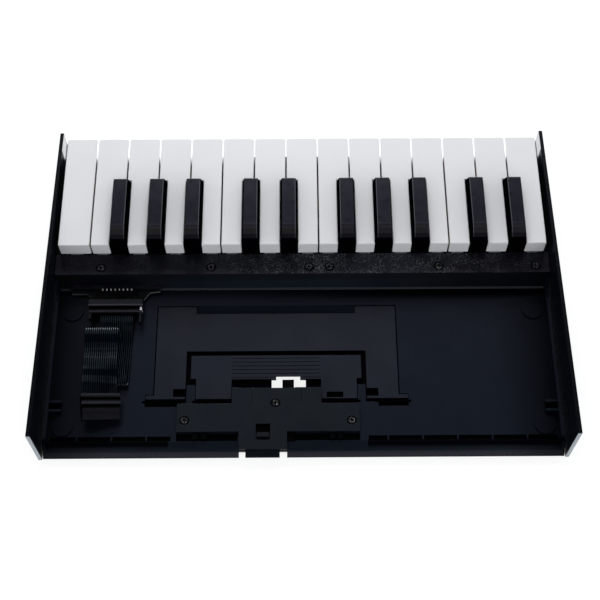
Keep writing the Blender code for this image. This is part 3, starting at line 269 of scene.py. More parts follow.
    def glow(self, colour, strength):
        self.shader.inputs["Emission Color"].default_value = (*colour, 1.0)
        self.link(strength, self.shader.inputs["Emission Strength"])

    def roughness(self, value, low, high):
        """A roughness that follows noise, from low to high."""
        self.link(self.ramp(value, 0.3, 0.7, low, high), self.shader.inputs["Roughness"])

    def bump(self, height, depth, strength):
        """A fine relief of this depth."""
        node = self.add("ShaderNodeBump")
        node.inputs["Distance"].default_value = depth * MM
        node.inputs["Strength"].default_value = strength
        self.link(height, node.inputs["Height"])
        self.link(node.outputs["Normal"], self.shader.inputs["Normal"])


def lighter(colour, factor):
    """A colour times a factor."""
    return tuple(value * factor for value in colour)


def extent(part):
    """The least and the greatest X, Y and Z of a node at rest."""
    corners = np.array(part.bound_box) / MM
    return corners.min(axis=0).tolist(), corners.max(axis=0).tolist()


def is_key(name, colour):
    """Whether a node is a key of this colour, and not the felt that stops such keys."""
    return name.startswith(f"{colour}_key_") and "felt" not in name


# Finishes of the keys

def white_plastic():
    """Satin white plastic: painted shade, partly grime, in the gaps between keys, and a painted glow there at
    the front.
    """
    paint = Paint("white_key_plastic", (0.87, 0.875, 0.89), 0.38, specular=0.35)
    gap_darkens, gap_glows = (-87.0, -83.0), (-85.0, -88.5)
    _, along, _ = paint.places()
    in_gap = paint.ramp(paint.maths("ABSOLUTE", paint.facing(0)), 0.8, 0.95)
    base = paint.clouds(38.0, (0.830, 0.835, 0.862), (0.855, 0.860, 0.878), detail=4.0)
    # Painted shade, partly grime: the walls that face the gaps darken towards the rear.
    grime_and_gap_shade = paint.times(in_gap, paint.ramp(along, *gap_darkens))
    paint.colours(paint.mix(grime_and_gap_shade, base, (0.50, 0.46, 0.44)))
    # Painted light: the walls that face the gaps glow at the keys' front end, standing in for light from
    # below.
    paint.glow(DAYLIGHT, paint.times(in_gap, paint.ramp(along, *gap_glows), 0.30))
    paint.roughness(paint.noise(9.0), 0.34, 0.44)
    paint.bump(paint.noise(0.7, 2.0), 0.01, 0.2)
    return paint.made


def black_key_plastic():
    """Glossy black plastic: painted highlights on the top's front edge, its crease and the edge facing X = 0.
    """
    paint = Paint("black_key_plastic", (0.008, 0.008, 0.015), 0.30, specular=0.17)
    front_edge, crease, slope = (-65.2, -64.5), (-32.0, -31.2), (-31.2, -30.0)
    side_edge, half_line, near_top = 3.95, 0.18, (37.0, 38.0)
    across, along, height = paint.places()
    level = paint.ramp(paint.upright(), 0.75, 0.95)
    top = paint.clouds(9.0, (0.0065, 0.0065, 0.0125), (0.0085, 0.0085, 0.0155))
    # Painted light: the top's rear slope is lighter, and a painted highlight makes a paler line on the
    # crease.
    top = paint.mix(paint.times(paint.ramp(along, *slope), level), top, (0.0185, 0.0182, 0.0195))
    top = paint.mix(paint.between(along, *crease, 0.5), top, (0.0160, 0.0160, 0.0220))
    # Painted shade: the walls are near black.
    base = paint.mix(level, (0.0008, 0.0008, 0.0016), top)
    # Painted highlights: a pale line along the top's front edge, and one along the top edge facing X = 0.
    painted_edge_highlight = paint.times(paint.between(along, *front_edge, 0.2), paint.ramp(height, *near_top))
    for name, part in NODES.items():
        if is_key(name, "black"):
            low, high = extent(part)
            middle = (low[0] + high[0]) / 2
            edge = middle - math.copysign(side_edge, middle)
            line = paint.between(across, edge - half_line, edge + half_line, 0.12)
            painted_edge_highlight = paint.most(painted_edge_highlight, paint.times(line, level))
    paint.colours(paint.mix(painted_edge_highlight, base, (0.070, 0.071, 0.084)))
    # Painted sheen: the top's gloss fades from the front towards the rear, and the walls have none.
    paint.specular(paint.times(level, paint.ramp(along, -64.0, -44.0, 0.205, 0.145)))
    paint.tint((0.85, 0.87, 1.0))
    paint.roughness(paint.noise(5.0, 4.0), 0.27, 0.35)
    paint.bump(paint.noise(0.45, 2.0), 0.01, 0.03)
    return paint.made


# Finishes of the case

def moulded(name, colour, roughness, specular):
    """Dark moulded plastic with a fine spark-eroded grain: the paint and its clouded colour."""
    paint = Paint(name, colour, roughness, specular=specular)
    paint.roughness(paint.noise(12.0, 4.0), roughness - 0.02, roughness + 0.03)
    paint.bump(paint.noise(0.35, 2.0), 0.015, 0.25)
    return paint, paint.clouds(30.0, colour, lighter(colour, 1.25))


def frame_plastic():
    """The key frame's plain grey-black plastic."""
    paint, base = moulded("frame_plastic", (0.03, 0.03, 0.033), 0.5, 0.3)
    paint.colours(base)
    return paint.made


def stand_plastic():
    """The stands' plastic: some dust, more of it towards -X, and painted shade, black, down in the grip
    grooves.
    """
    gloss = 0.20
    paint, base = moulded("stand_plastic", (0.0062, 0.0092, 0.0168), 0.36, gloss)
    groove_floor, groove_top = 5.4, 5.8
    across, _, height = paint.places()
    specks = paint.ramp(paint.noise(1.3, 3.0), 0.58, 0.70)
    patches = paint.ramp(paint.noise(26.0, 4.0), 0.38, 0.62)
    dusty = paint.times(specks, patches, paint.ramp(across, 100.0, -100.0, 0.030, 0.075))
    # Painted shade: black and without gloss below the top of the grip grooves.
    open_to_light = paint.ramp(height, groove_floor, groove_top)
    paint.colours(paint.mix(open_to_light, (0.0008, 0.0009, 0.0012), paint.mix(dusty, base, DUST)))
    paint.specular(paint.times(open_to_light, gloss))
    return paint.made


def bracket_plastic():
    """The bracket's plastic, with painted shade, black, on its clips behind the rear edge and on the wall in
    its window.
    """
    gloss = 0.19
    paint, base = moulded("bracket_plastic", LATCH_BLACK, 0.36, gloss)
    tongue_middle, tongue_half, rear_edge = 23.9, 14.2, 91.1
    window_x, window_front = (19.5, 28.2), (86.3, 86.5)
    across, along, _ = paint.places()
    specks = paint.ramp(paint.noise(1.3, 3.0), 0.58, 0.70)
    base = paint.mix(paint.times(specks, 0.03), base, DUST)
    beside_tongue = paint.ramp(paint.apart(across, tongue_middle), tongue_half, tongue_half + 0.4)
    clips = paint.times(paint.ramp(along, rear_edge, rear_edge + 0.2), beside_tongue)
    window = paint.times(paint.between(across, *window_x, 0.2), paint.between(along, *window_front, 0.1))
    # Painted shade: black, without gloss, on the clips and on the window's walls.
    dark = paint.most(clips, paint.times(window, paint.walls()))
    paint.colours(paint.mix(dark, base, PAINTED_SHADE_BLACK))
    paint.specular(paint.ramp(dark, 0.0, 1.0, gloss, 0.03))
    return paint.made


def slider_plastic():
    """The catch's plastic: painted shade, black, where it lies deep, and its own paler colour on its tab and
    the block in the window.
    """
    gloss = 0.19
    paint, base = moulded("slider_plastic", LATCH_BLACK, 0.36, gloss)
    tab_x, tab_front = (14.5, 33.8), 90.8
    across, along, _ = paint.places()
    tab = paint.times(paint.between(across, *tab_x, 0.4), paint.ramp(along, tab_front, tab_front + 0.6))
    # Painted shade: all but the tab is black and without gloss.
    paint.colours(paint.mix(tab, PAINTED_SHADE_BLACK, base))
    paint.specular(paint.ramp(tab, 0.0, 1.0, 0.03, gloss))
    return paint.made


def tray_plastic():
    """The tray's dark plastic: smooth enough to mirror the rail, with black painted shade down in its pockets
    and slots.

    Behind the rear slots painted shade makes a dark channel on both sides of the latch, and painted light
    makes the edge past it pale. Painted shade darkens the floor towards the side walls and under the rail,
    and painted light makes the walls bluish and the rim lighter.
    """
    colour = (0.0022, 0.0042, 0.0076)
    paint = Paint("tray_plastic", colour, 0.28, specular=0.30)
    bay_front, rim_height, pale_edge_y = 5.0, 9.5, (100.5, 104.5)
    latch_middle, latch_half = 20.9, 58.3
    channel_y, channel_edge = (97.2, 97.8), 3.4
    pockets_y, pocket_floor, pocket_top = (14.6, 96.2), 4.0, 5.8
    across, along, height = paint.places()
    base = paint.clouds(30.0, colour, lighter(colour, 1.25))
    # Painted light: the walls are a lighter blue than the floor.
    base = paint.mix(paint.walls(), base, (0.0040, 0.0070, 0.0140))
    # Painted light: the rim above the floor, behind the bay's front, is lighter.
    above_floor = paint.ramp(height, rim_height, rim_height + 0.3)
    rim = paint.times(above_floor, paint.ramp(along, bay_front, bay_front + 1.0))
    base = paint.mix(rim, base, (0.007, 0.009, 0.014))
    # Painted light: the edge behind the rear channel grows pale.
    base = paint.mix(paint.ramp(along, *pale_edge_y), base, (0.020, 0.021, 0.024))

    # Painted shade: black, with little gloss, in the channel behind the rear slots and down in the pockets.
    beside_latch = paint.ramp(paint.apart(across, latch_middle), latch_half, latch_half + 0.4)
    channel = paint.times(paint.between(along, *channel_y, channel_edge), beside_latch)
    low_down = paint.ramp(height, pocket_top, pocket_floor)
    pockets = paint.times(low_down, paint.between(along, *pockets_y, 0.4))
    dark = paint.most(channel, pockets)
    base = paint.mix(dark, base, (0.0010, 0.0010, 0.0016))

    # Painted shade: the floor darkens towards the side walls and under the rail.
    near_wall = paint.times(paint.ramp(paint.apart(across, 0.0), 112.0, 150.0), paint.ramp(height, 9.0, 8.0))
    under_rail = paint.times(paint.ramp(along, 6.2, -1.0), paint.ramp(across, 60.0, -70.0, 0.35, 0.95))
    shade = paint.most(paint.times(near_wall, 0.6), paint.times(under_rail, paint.ramp(height, 6.8, 6.2)))
    light = paint.rest_of(shade)
    paint.colours(paint.mix(light, (0.0004, 0.0004, 0.0010), base))
    gloss = paint.times(light, paint.ramp(dark, 0.0, 1.0, 0.30, 0.02))
    paint.specular(paint.times(gloss, paint.ramp(paint.upright(), 0.5, 0.9, 0.35, 1.0)))
    paint.tint((0.68, 0.74, 1.0))
    paint.roughness(paint.noise(12.0, 4.0), 0.27, 0.30)
    paint.bump(paint.noise(0.35, 2.0), 0.010, 0.10)
    return paint.made


def rail_plastic():
    """The rail's plastic: a dusty ledge, painted light on a bluish wall, dimming towards the ends, and a
    painted highlight on the lip.
    """
    paint = Paint("rail_plastic", (0.0016, 0.0016, 0.0044), 0.46, specular=0.20)
    wall_middle, dust_middle, pale_middle = 8.0, -40.0, -53.0
    corner_y, ledge_height, lip_height = (-0.4, 0.2), 18.5, 7.6
    step_top, step_foot = 16.6, 13.0
    across, along, height = paint.places()
    outward = paint.apart(across, wall_middle)
    base = paint.clouds(30.0, (0.0014, 0.0014, 0.0040), (0.0022, 0.0024, 0.0060))
    specks = paint.ramp(paint.noise(0.9, 6.0), 0.46, 0.68)
    patches = paint.ramp(paint.noise(6.0, 6.0), 0.34, 0.66, 0.15, 1.0)
    dusty = paint.ramp(paint.apart(across, dust_middle), 120.0, 10.0, 0.16, 1.0)
    base = paint.mix(paint.times(specks, patches, dusty), base, (0.135, 0.137, 0.150))
    # The ledge turns a paler blue, most near X = -53 and a little towards the middle.
    thick = paint.ramp(paint.apart(across, pale_middle), 42.0, 4.0, 0.0, 0.15)
    thin = paint.times(paint.ramp(outward, 120.0, 20.0), 0.03)
    base = paint.mix(paint.maths("ADD", thin, thick), base, (0.055, 0.068, 0.095))

    # Painted light: the wall is a lighter blue in the middle, dims towards the ends, and is darker above the
    # step.
    wall = paint.mix(paint.ramp(outward, 125.0, 20.0), (0.0006, 0.0010, 0.0030), (0.0058, 0.0100, 0.0160))
    wall = paint.mix(paint.ramp(height, step_top, step_foot, 0.5, 1.0), (0.0004, 0.0007, 0.0015), wall)
    base = paint.mix(paint.walls(), base, wall)
    # Painted highlight: a pale line on the ledge by Y = 0.
    at_ledge = paint.ramp(height, ledge_height - 0.5, ledge_height)
    corner = paint.times(paint.between(along, *corner_y, 0.4), at_ledge, 0.25)
    base = paint.mix(corner, base, (0.070, 0.076, 0.088))
    # Painted highlight: the lip below the wall is pale.
    lip = paint.ramp(height, lip_height, lip_height - 0.4)
    paint.colours(paint.mix(lip, base, (0.040, 0.045, 0.050)))
    paint.tint((0.84, 0.84, 1.0))
    paint.roughness(paint.noise(12.0, 4.0), 0.42, 0.52)
    paint.bump(specks, 0.02, 0.3)
    return paint.made


def screw_steel():
    """Blackened steel: painted shade as a dark rim round each head and black down in its cross, and painted
    glints on its face.
    """
    paint = Paint("black_steel", (0.05, 0.05, 0.055), 0.34, metallic=1.0)
    rim_inner, rim_outer = 0.38, 0.55
    rail_cross, bracket_cross, below_rail_heads = (19.0, 19.7), (8.0, 8.7), (15.0, 14.0)
    _, _, height = paint.places()
    # Painted shade: the heads are black below their tops, down in their crosses.
    rail_heads = paint.ramp(height, *rail_cross)
    bracket_heads = paint.times(paint.ramp(height, *bracket_cross), paint.ramp(height, *below_rail_heads))
    open_to_light = paint.most(rail_heads, bracket_heads)
    for name, part in NODES.items():
        if "screw" in name:
            (left, front, _), (right, rear, _) = extent(part)
            off = paint.off_axis((left + right) / 2, (front + rear) / 2)
            width = right - left
            # Painted shade: a dark rim round each head.
            rim = paint.between(off, width * rim_inner, width * rim_outer, 0.2)
            open_to_light = paint.times(open_to_light, paint.rest_of(rim))
    scratches = paint.noise(0.5, 4.0)
    # Painted highlights: pale glints over the heads' faces, placed by noise.
    face = paint.mix(paint.ramp(scratches, 0.50, 0.60), (0.016, 0.017, 0.021), (0.24, 0.24, 0.25))
    paint.colours(paint.mix(open_to_light, (0.005, 0.005, 0.006), face))
    paint.roughness(scratches, 0.26, 0.42)
    paint.bump(scratches, 0.01, 0.4)
    return paint.made


def panel_paint():
    """Black paint with bare grey metal on the thin rear edge, and a painted glow of daylight on the inner
    front end.
    """
    paint = Paint("panel_paint", (0.003, 0.0035, 0.006), 0.25, specular=0.06)
    rear_edge, front_end, above_keys = (105.45, 105.55), (-90.5, -92.5), (19.0, 22.0)
    across, along, height = paint.places()
    black = paint.clouds(24.0, (0.0014, 0.0020, 0.0040), (0.0022, 0.0030, 0.0056))
    paint.colours(paint.mix(paint.ramp(along, *rear_edge), black, (0.42, 0.47, 0.50)))
    inward = paint.times(paint.facing(0), paint.maths("SIGN", across))
    inner = paint.ramp(inward, -0.8, -0.95)
    # Painted light: the inner face glows with daylight, and shines more, at its front end above the keys.
    front = paint.times(inner, paint.ramp(along, *front_end), paint.ramp(height, *above_keys))
    paint.specular(paint.ramp(front, 0.0, 1.0, 0.06, 0.30))
    paint.glow(DAYLIGHT, paint.times(front, 0.50))
    paint.roughness(paint.noise(5.0, 4.0), 0.30, 0.42)
    paint.bump(paint.noise(0.4, 2.0), 0.010, 0.10)
    return paint.made


# Finishes of the connectors, the board and the cable

def header_plastic():
    """Black moulded plastic whose pins, in front of the moulding, are bare tinned metal; painted light and
    shade on the moulding.
    """
    paint = Paint("header_plastic", (0.006, 0.006, 0.008), 0.4, specular=0.22)
    pin_rear, body_front, rear_edge_y, top = 0.28, 6.8, (10.4, 11.2), 15.2
    _, along, height = paint.places()
    pins = paint.ramp(along, pin_rear, pin_rear - 0.08)
    body = paint.ramp(along, body_front, body_front + 0.5)
    black = paint.clouds(6.0, (0.0030, 0.0032, 0.0050), (0.0050, 0.0052, 0.0075), detail=4.0)
    # Painted shade: the moulding is near black, without gloss, in front of the body.
    black = paint.mix(body, (0.0006, 0.0006, 0.0010), black)
    # Painted highlight: a pale line along the top's rear edge.
    rear_edge = paint.times(paint.between(along, *rear_edge_y, 0.2), paint.ramp(height, top - 0.4, top))
    black = paint.mix(rear_edge, black, (0.034, 0.033, 0.038))
    paint.colours(paint.mix(pins, black, (0.75, 0.73, 0.70)))
    paint.specular(paint.most(pins, paint.ramp(body, 0.0, 1.0, 0.03, 0.22)))
    paint.tint((0.80, 0.82, 1.0))
    paint.metallic(pins)
    paint.roughness(paint.noise(3.0), 0.28, 0.42)
    paint.bump(paint.noise(0.3, 2.0), 0.01, 0.25)
    return paint.made


def connector_plastic(name, colour, specular):
    """The grained black plastic that the socket and the plug share."""
    paint = Paint(name, colour, 0.36, specular=specular)
    paint.tint(CONNECTOR_TINT)
    paint.roughness(paint.noise(3.0), 0.32, 0.42)
    paint.bump(paint.noise(0.25, 2.0), 0.012, 0.25)
    return paint


def socket_plastic():
    """The socket's moulding: painted shade behind the header, a painted highlight on the rib after it, and
    one painted glint.
    """
    paint = connector_plastic("socket_plastic", (0.003, 0.003, 0.0052), 0.15)
    gap_shade_y, rib_y, rib_top = (10.5, 13.4), (13.8, 15.0), 13.8
    glint_x, glint_y = (98.4, 99.3), (9.5, 13.5)
    across, along, height = paint.places()
    base = paint.clouds(6.0, (0.0024, 0.0024, 0.0040), (0.0034, 0.0034, 0.0052), detail=4.0)
    # Painted shade: a dark band, without gloss, behind the header.
    gap_shade = paint.between(along, *gap_shade_y, 0.3)
    # Painted highlight: the rib's top is paler.
    rib = paint.times(paint.between(along, *rib_y, 0.2), paint.ramp(height, rib_top - 0.6, rib_top))
    base = paint.mix(gap_shade, base, (0.0008, 0.0008, 0.0014))
    base = paint.mix(rib, base, (0.0150, 0.0145, 0.0180))
    # Painted highlight: a near-white glint at the socket's low-X end.
    painted_glint = paint.times(paint.between(across, *glint_x, 0.2), paint.between(along, *glint_y, 0.4))
    paint.colours(paint.mix(painted_glint, base, (0.85, 0.85, 0.85)))
    paint.specular(paint.ramp(gap_shade, 0.0, 1.0, 0.15, 0.03))
    return paint.made


def plug_plastic():
    """The plug's moulding, with painted shade in the grooves across it and painted highlights on the ridges
    beside them.

    inward is how far a point lies along the turned plug from its ribbon end.
    """
    paint = connector_plastic("plug_plastic", (0.003, 0.003, 0.005), 0.10)
    ridges_at = ((1.2, 2.0), (6.2, 7.2))
    grooves_at = ((3.4, 4.9), (7.8, 9.4))
    turn = math.radians(PLUG_TURN)
    across, along, _ = paint.places()
    sideways = paint.times(paint.maths("SUBTRACT", across, PLUG_CORNER_X), -math.sin(turn))
    lengthways = paint.times(paint.maths("SUBTRACT", along, PLUG_CORNER_Y), math.cos(turn))
    inward = paint.maths("ADD", sideways, lengthways)
    ridges = paint.most(*(paint.between(inward, *place, 0.3) for place in ridges_at))
    grooves = paint.most(*(paint.between(inward, *place, 0.3) for place in grooves_at))
    base = paint.clouds(6.0, (0.0026, 0.0026, 0.0042), (0.0038, 0.0038, 0.0056), detail=4.0)
    # Painted highlights on the ridges; painted shade, without gloss, in the grooves.
    base = paint.mix(ridges, base, (0.020, 0.021, 0.025))
    paint.colours(paint.mix(grooves, base, (0.0004, 0.0004, 0.0008)))
    paint.specular(paint.ramp(grooves, 0.0, 1.0, 0.10, 0.01))
    return paint.made


def board_laminate():
    """Near-black solder resist, with the pale bare laminate showing on the cut edges."""
    paint = Paint("board_laminate", (0.003, 0.004, 0.005), 0.4, specular=0.12)
    weave = paint.noise(0.6, 2.0)
    resist = paint.mix(weave, (0.002, 0.003, 0.004), (0.004, 0.005, 0.006))
    cut_edge = paint.ramp(paint.upright(), 0.6, 0.3)
    paint.colours(paint.mix(cut_edge, resist, (0.10, 0.10, 0.10)))
    paint.bump(weave, 0.01, 0.3)
    return paint.made


def cable_insulation():
    """Black insulation, with painted shade down between its cores and painted sheen dimmed across some bands
    of the top layer.

    The grooves between the cores lie where |sin(pi (u + width / 2) / pitch)| comes near 0, as in the
    mesh, with u across the cable and the pitch from core to core.
    """
    paint = Paint("cable_insulation", (0.002, 0.004, 0.008), 0.30, specular=0.25)
    dimmed_sheen_bands = ((31.8, 35.4, 1.0), (41.5, 44.5, 0.8), (54.2, 56.6, 1.0), (62.5, 70.0, 0.85))
    top_layer = (11.2, 12.2)
    _, along, height = paint.places()
    over_width = paint.in_mm(paint.add("ShaderNodeUVMap", uv_map="along").outputs["UV"])[0]
    from_edge = paint.maths("ADD", over_width, RIBBON_WIDTH / 2)
    wave = paint.maths("SINE", paint.times(from_edge, math.pi * RIBBON_CORES / RIBBON_WIDTH))
    core = paint.ramp(paint.maths("ABSOLUTE", wave), 0.45, 0.95)
    light = paint.clouds(8.0, (0.0008, 0.0030, 0.0068), (0.0022, 0.0052, 0.0100), detail=4.0)
    # Painted shade: near black down between the cores.
    paint.colours(paint.mix(core, (0.0003, 0.0005, 0.0010), light))

    # Painted sheen: gloss on the cores, dimmed across some bands of the top layer and lower on the lower
    # layer.
    bands = (paint.times(paint.between(along, low, high, 1.8), share) for low, high, share in dimmed_sheen_bands)
    upper = paint.ramp(height, *top_layer)
    bright_above = paint.times(paint.ramp(paint.most(*bands), 0.0, 1.0, 1.0, 0.12), upper)
    bright_below = paint.times(paint.rest_of(upper), 0.55)
    bright = paint.maths("ADD", bright_above, bright_below)
    paint.specular(paint.times(bright, paint.ramp(core, 0.0, 1.0, 0.02, 0.62)))
    paint.tint((0.70, 0.86, 1.0))
    paint.roughness(paint.noise(4.0, 4.0), 0.24, 0.34)
    paint.bump(paint.noise(0.3, 2.0), 0.008, 0.2)
    return paint.made


# Finishes of the inner pieces and the feet

def rubber(name, colour):
    """Matt rubber with a slightly uneven skin."""
    paint = Paint(name, colour, 0.8, specular=0.25)
    paint.colours(paint.clouds(4.0, colour, lighter(colour, 1.4), detail=4.0))
    paint.roughness(paint.noise(1.5), 0.72, 0.9)
    paint.bump(paint.noise(0.5, 3.0), 0.03, 0.4)
    return paint.made


def stop_felt():
    """Dark red felt, its fibres drawn out along X."""
    paint = Paint("stop_felt", (0.30, 0.04, 0.04), 0.95, specular=0.1)
    fibres = paint.noise(0.5, 4.0, stretch=(1.0, 3.0, 3.0))
    paint.colours(paint.mix(fibres, (0.22, 0.025, 0.03), (0.38, 0.06, 0.06)))
    paint.shader.inputs["Sheen Weight"].default_value = 0.4
    paint.bump(fibres, 0.25, 0.7)
    return paint.made


def bright_steel():
    """Bright steel with drawing marks along X."""
    colour = (0.55, 0.55, 0.56)
    paint = Paint("steel", colour, 0.25, metallic=1.0)
    scratches = paint.noise(0.8, 4.0, stretch=(0.2, 3.0, 3.0))
    paint.colours(paint.mix(scratches, lighter(colour, 0.8), colour))
    paint.roughness(scratches, 0.19, 0.35)
    paint.bump(scratches, 0.005, 0.3)
    return paint.made


def finishes():
    """Every node's material: by its own name, or under white, black, screw or foot."""
    made = {
        "white": white_plastic(),
        "black": black_key_plastic(),
        "screw": screw_steel(),
        "foot": rubber("foot_rubber", (0.015, 0.015, 0.016)),
        "bottom_tray": tray_plastic(),
        "rear_rail": rail_plastic(),
        "latch_bracket": bracket_plastic(),
        "latch_slider": slider_plastic(),
        "key_frame": frame_plastic(),
        "box_header": header_plastic(),
        "ribbon_plug": plug_plastic(),
        "ribbon_socket": socket_plastic(),
        "ribbon_cable": cable_insulation(),
        "main_board": board_laminate(),
        "rubber_contact_strip": rubber("contact_rubber", (0.30, 0.30, 0.29)),
    }
    made["tilt_stand_long"] = made["tilt_stand_short"] = stand_plastic()
    made["side_panel_left"] = made["side_panel_right"] = panel_paint()
    made["white_key_stop_felt"] = made["black_key_stop_felt"] = stop_felt()
    made["key_pivot_rod"] = made["latch_spring"] = bright_steel()
    return made


# Ribbon cable

def mesh_piece(name, points, faces, body="case"):
    """One smooth piece from an array of points in metres and lists of corner numbers."""
    mesh = bpy.data.meshes.new(name)
    mesh.from_pydata(points.tolist(), [], faces)
    mesh.update()
    mesh.polygons.foreach_set("use_smooth", [True] * len(mesh.polygons))
    piece = bpy.data.objects.new(name, mesh)
    bpy.context.scene.collection.objects.link(piece)
    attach(piece, body)
    return piece


def tube_faces(rows, columns):
    """Faces of a closed ring of points carried through rows, with both ends closed.

    Each point joins the next one round its ring and the two beside them in the next row.
    """
    ring = np.arange(columns)
    row_start = np.arange(rows - 1)[:, None] * columns
    near, after = row_start + ring, row_start + np.roll(ring, -1)
    walls = np.stack([near, after, after + columns, near + columns], axis=-1).reshape(-1, 4)
    ends = [ring[::-1], ring + (rows - 1) * columns]
    return walls.tolist() + [end.tolist() for end in ends]


def walked_along(points):
    """How far along the line through the points each of them lies."""
    steps = np.linalg.norm(np.diff(points, axis=0), axis=1)
    return np.concatenate([[0.0], np.cumsum(steps)])


def smooth_route(stops, spacing):
    """Points a fixed distance apart on a Catmull-Rom curve through the stops.

    Between b and c, with a before and d after, the point at share t is half of
    2b + (c - a)t + (2a - 5b + 4c - d)t^2 + (3b - a - 3c + d)t^3.
    """
    stops = np.array(stops)
    ends = np.vstack([stops[:1] * 2 - stops[1:2], stops, stops[-1:] * 2 - stops[-2:-1]])
    a, b, c, d = (ends[start:len(ends) - 3 + start, None, :] for start in range(4))
    t = (np.arange(24) / 24)[None, :, None]
    square, cube = 2 * a - 5 * b + 4 * c - d, 3 * b - a - 3 * c + d
    fine = 0.5 * (2 * b + (c - a) * t + square * t ** 2 + cube * t ** 3)
    fine = np.vstack([fine.reshape(-1, 3), stops[-1:]])
    walked = walked_along(fine)
    at = np.linspace(0.0, walked[-1], round(walked[-1] / spacing) + 1)
    return np.column_stack([np.interp(at, walked, fine[:, index]) for index in range(3)])


def ribbon_ring():
    """The cable's cross-section as one closed ring: each point's place across it and its height.

    The half thickness is web + rise * |sin(pi (u + width / 2) / pitch)| ^ fullness, with u across the
    cable from its middle and the pitch from core to core, and it is thinnest at the two edges.
    """
    count = RIBBON_CORES * POINTS_PER_CORE + 1
    across = np.linspace(-RIBBON_WIDTH / 2, RIBBON_WIDTH / 2, count)
    wave = np.sin(np.pi * (across + RIBBON_WIDTH / 2) * RIBBON_CORES / RIBBON_WIDTH)
    half = WEB_HALF_THICKNESS + CORE_RISE * np.abs(wave) ** CORE_FULLNESS
    half[[0, -1]] = EDGE_HALF_THICKNESS
    return np.concatenate([across, across[::-1]]), np.concatenate([-half, half[::-1]])


def make_ribbon(material):
    """The flat cable: its section carried along the folded route, upright to it in the YZ plane.

    Over the last stretch, Y and Z grow with the place across the cable by the tangents of the plug's
    turn and lean, times the share of the stretch behind the point, so that it lies square to the plug.
    """
    route = smooth_route(RIBBON_STOPS, RIBBON_SPACING)
    route[:, 0] += HEADER_CENTRE_X
    walked = walked_along(route)
    step = np.gradient(route, axis=0)
    pace = np.linalg.norm(step[:, 1:], axis=1)
    normal = np.column_stack([np.zeros(len(route)), -step[:, 2] / pace, step[:, 1] / pace])
    ring_x, ring_height = ribbon_ring()
    share = np.clip(1.0 - (walked[-1] - walked) / RIBBON_SKEW_LENGTH, 0.0, 1.0)
    skew, lean = (math.tan(math.radians(angle)) * share for angle in (PLUG_TURN, PLUG_LEAN))
    sideways = np.column_stack([np.ones(len(route)), skew, lean])
    points = route[:, None, :] + normal[:, None, :] * ring_height[None, :, None]
    points += sideways[:, None, :] * ring_x[None, :, None]
    rows, columns = points.shape[:2]
    piece = mesh_piece("flat_cable", points.reshape(-1, 3) * MM, tube_faces(rows, columns))
    piece.data.materials.append(material)

    corners = np.empty(len(piece.data.loops), dtype=np.int32)
    piece.data.loops.foreach_get("vertex_index", corners)
    uv = np.column_stack([ring_x[corners % columns], walked[corners // columns]]) * MM
    layer = piece.data.uv_layers.new(name="along")
    layer.data.foreach_set("uv", uv.astype(np.float32).ravel())
    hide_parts("ribbon_cable")


# Edges and materials of the CAD nodes

def soften(node, width, flat=False):
    """Round a node's edges a little, so that they catch the light as moulded edges do.

    A flat node's faces in one plane are joined first, and its shading kept even.
    """
    part = NODES[node]
    weld = part.modifiers.new("weld", "WELD")
    weld.merge_threshold = 0.002 * MM
    if flat:
        plain = part.modifiers.new("flat", "DECIMATE")
        plain.decimate_type = "DISSOLVE"
        plain.angle_limit = math.radians(0.6)
    edge = part.modifiers.new("edge", "BEVEL")
    edge.width = width * MM
    edge.segments = 2
    edge.limit_method = "ANGLE"
    edge.angle_limit = math.radians(32.0)
    edge.miter_outer = "MITER_ARC"
    edge.use_clamp_overlap = True
    edge.harden_normals = flat


def dress(materials):
    """Give every carried-over node its material."""
    for name, part in NODES.items():
        if is_key(name, "white"):
            made = materials["white"]
        elif is_key(name, "black"):
            made = materials["black"]
        elif "screw" in name:
            made = materials["screw"]
        elif name.startswith("rubber_foot"):
            made = materials["foot"]
        else:
            made = materials[name]
        part.data.materials.clear()
        part.data.materials.append(made)


# Floor and light

def direct_rays(tree, *kinds):
    """1 for rays of any of these kinds, and 0 for all others."""
    rays = tree.nodes.new("ShaderNodeLightPath")
    found = rays.outputs[kinds[0]]
    for kind in kinds[1:]:
        either = tree.nodes.new("ShaderNodeMath")
        either.operation = "MAXIMUM"
        tree.links.new(found, either.inputs[0])
        tree.links.new(rays.outputs[kind], either.inputs[1])
        found = either.outputs[0]
    return found


def floor_finish():
    """Plain pale matt, which looks nearly white where the camera or a reflection sees it directly."""
    made = bpy.data.materials.new("floor")
    made.use_nodes = True
    tree = made.node_tree
    tree.nodes.clear()
    plain, pale = (tree.nodes.new("ShaderNodeBsdfDiffuse") for _ in range(2))
    plain.inputs["Color"].default_value = (0.8, 0.8, 0.8, 1.0)
    pale.inputs["Color"].default_value = (0.26, 0.26, 0.27, 1.0)
    glow = tree.nodes.new("ShaderNodeEmission")
    glow.inputs["Strength"].default_value = 0.85
    both = tree.nodes.new("ShaderNodeAddShader")
    seen = tree.nodes.new("ShaderNodeMixShader")
    tree.links.new(pale.outputs[0], both.inputs[0])
    tree.links.new(glow.outputs[0], both.inputs[1])
    direct = direct_rays(tree, "Is Camera Ray", "Is Transmission Ray", "Is Glossy Ray")
    for target, source in enumerate((direct, plain.outputs[0], both.outputs[0])):
        tree.links.new(source, seen.inputs[target])
    out = tree.nodes.new("ShaderNodeOutputMaterial")
    tree.links.new(seen.outputs[0], out.inputs[0])
    return made


def make_floor():
    """A wide pale floor just under the feet, in metres."""
    reach, height = 6.0, -0.0002
    corners = [(x * reach, y * reach, height) for x, y in ((-1, -1), (1, -1), (1, 1), (-1, 1))]
    mesh = bpy.data.meshes.new("floor")
    mesh.from_pydata(corners, [], [(0, 1, 2, 3)])
    mesh.materials.append(floor_finish())
    floor = bpy.data.objects.new("floor", mesh)
    bpy.context.scene.collection.objects.link(floor)


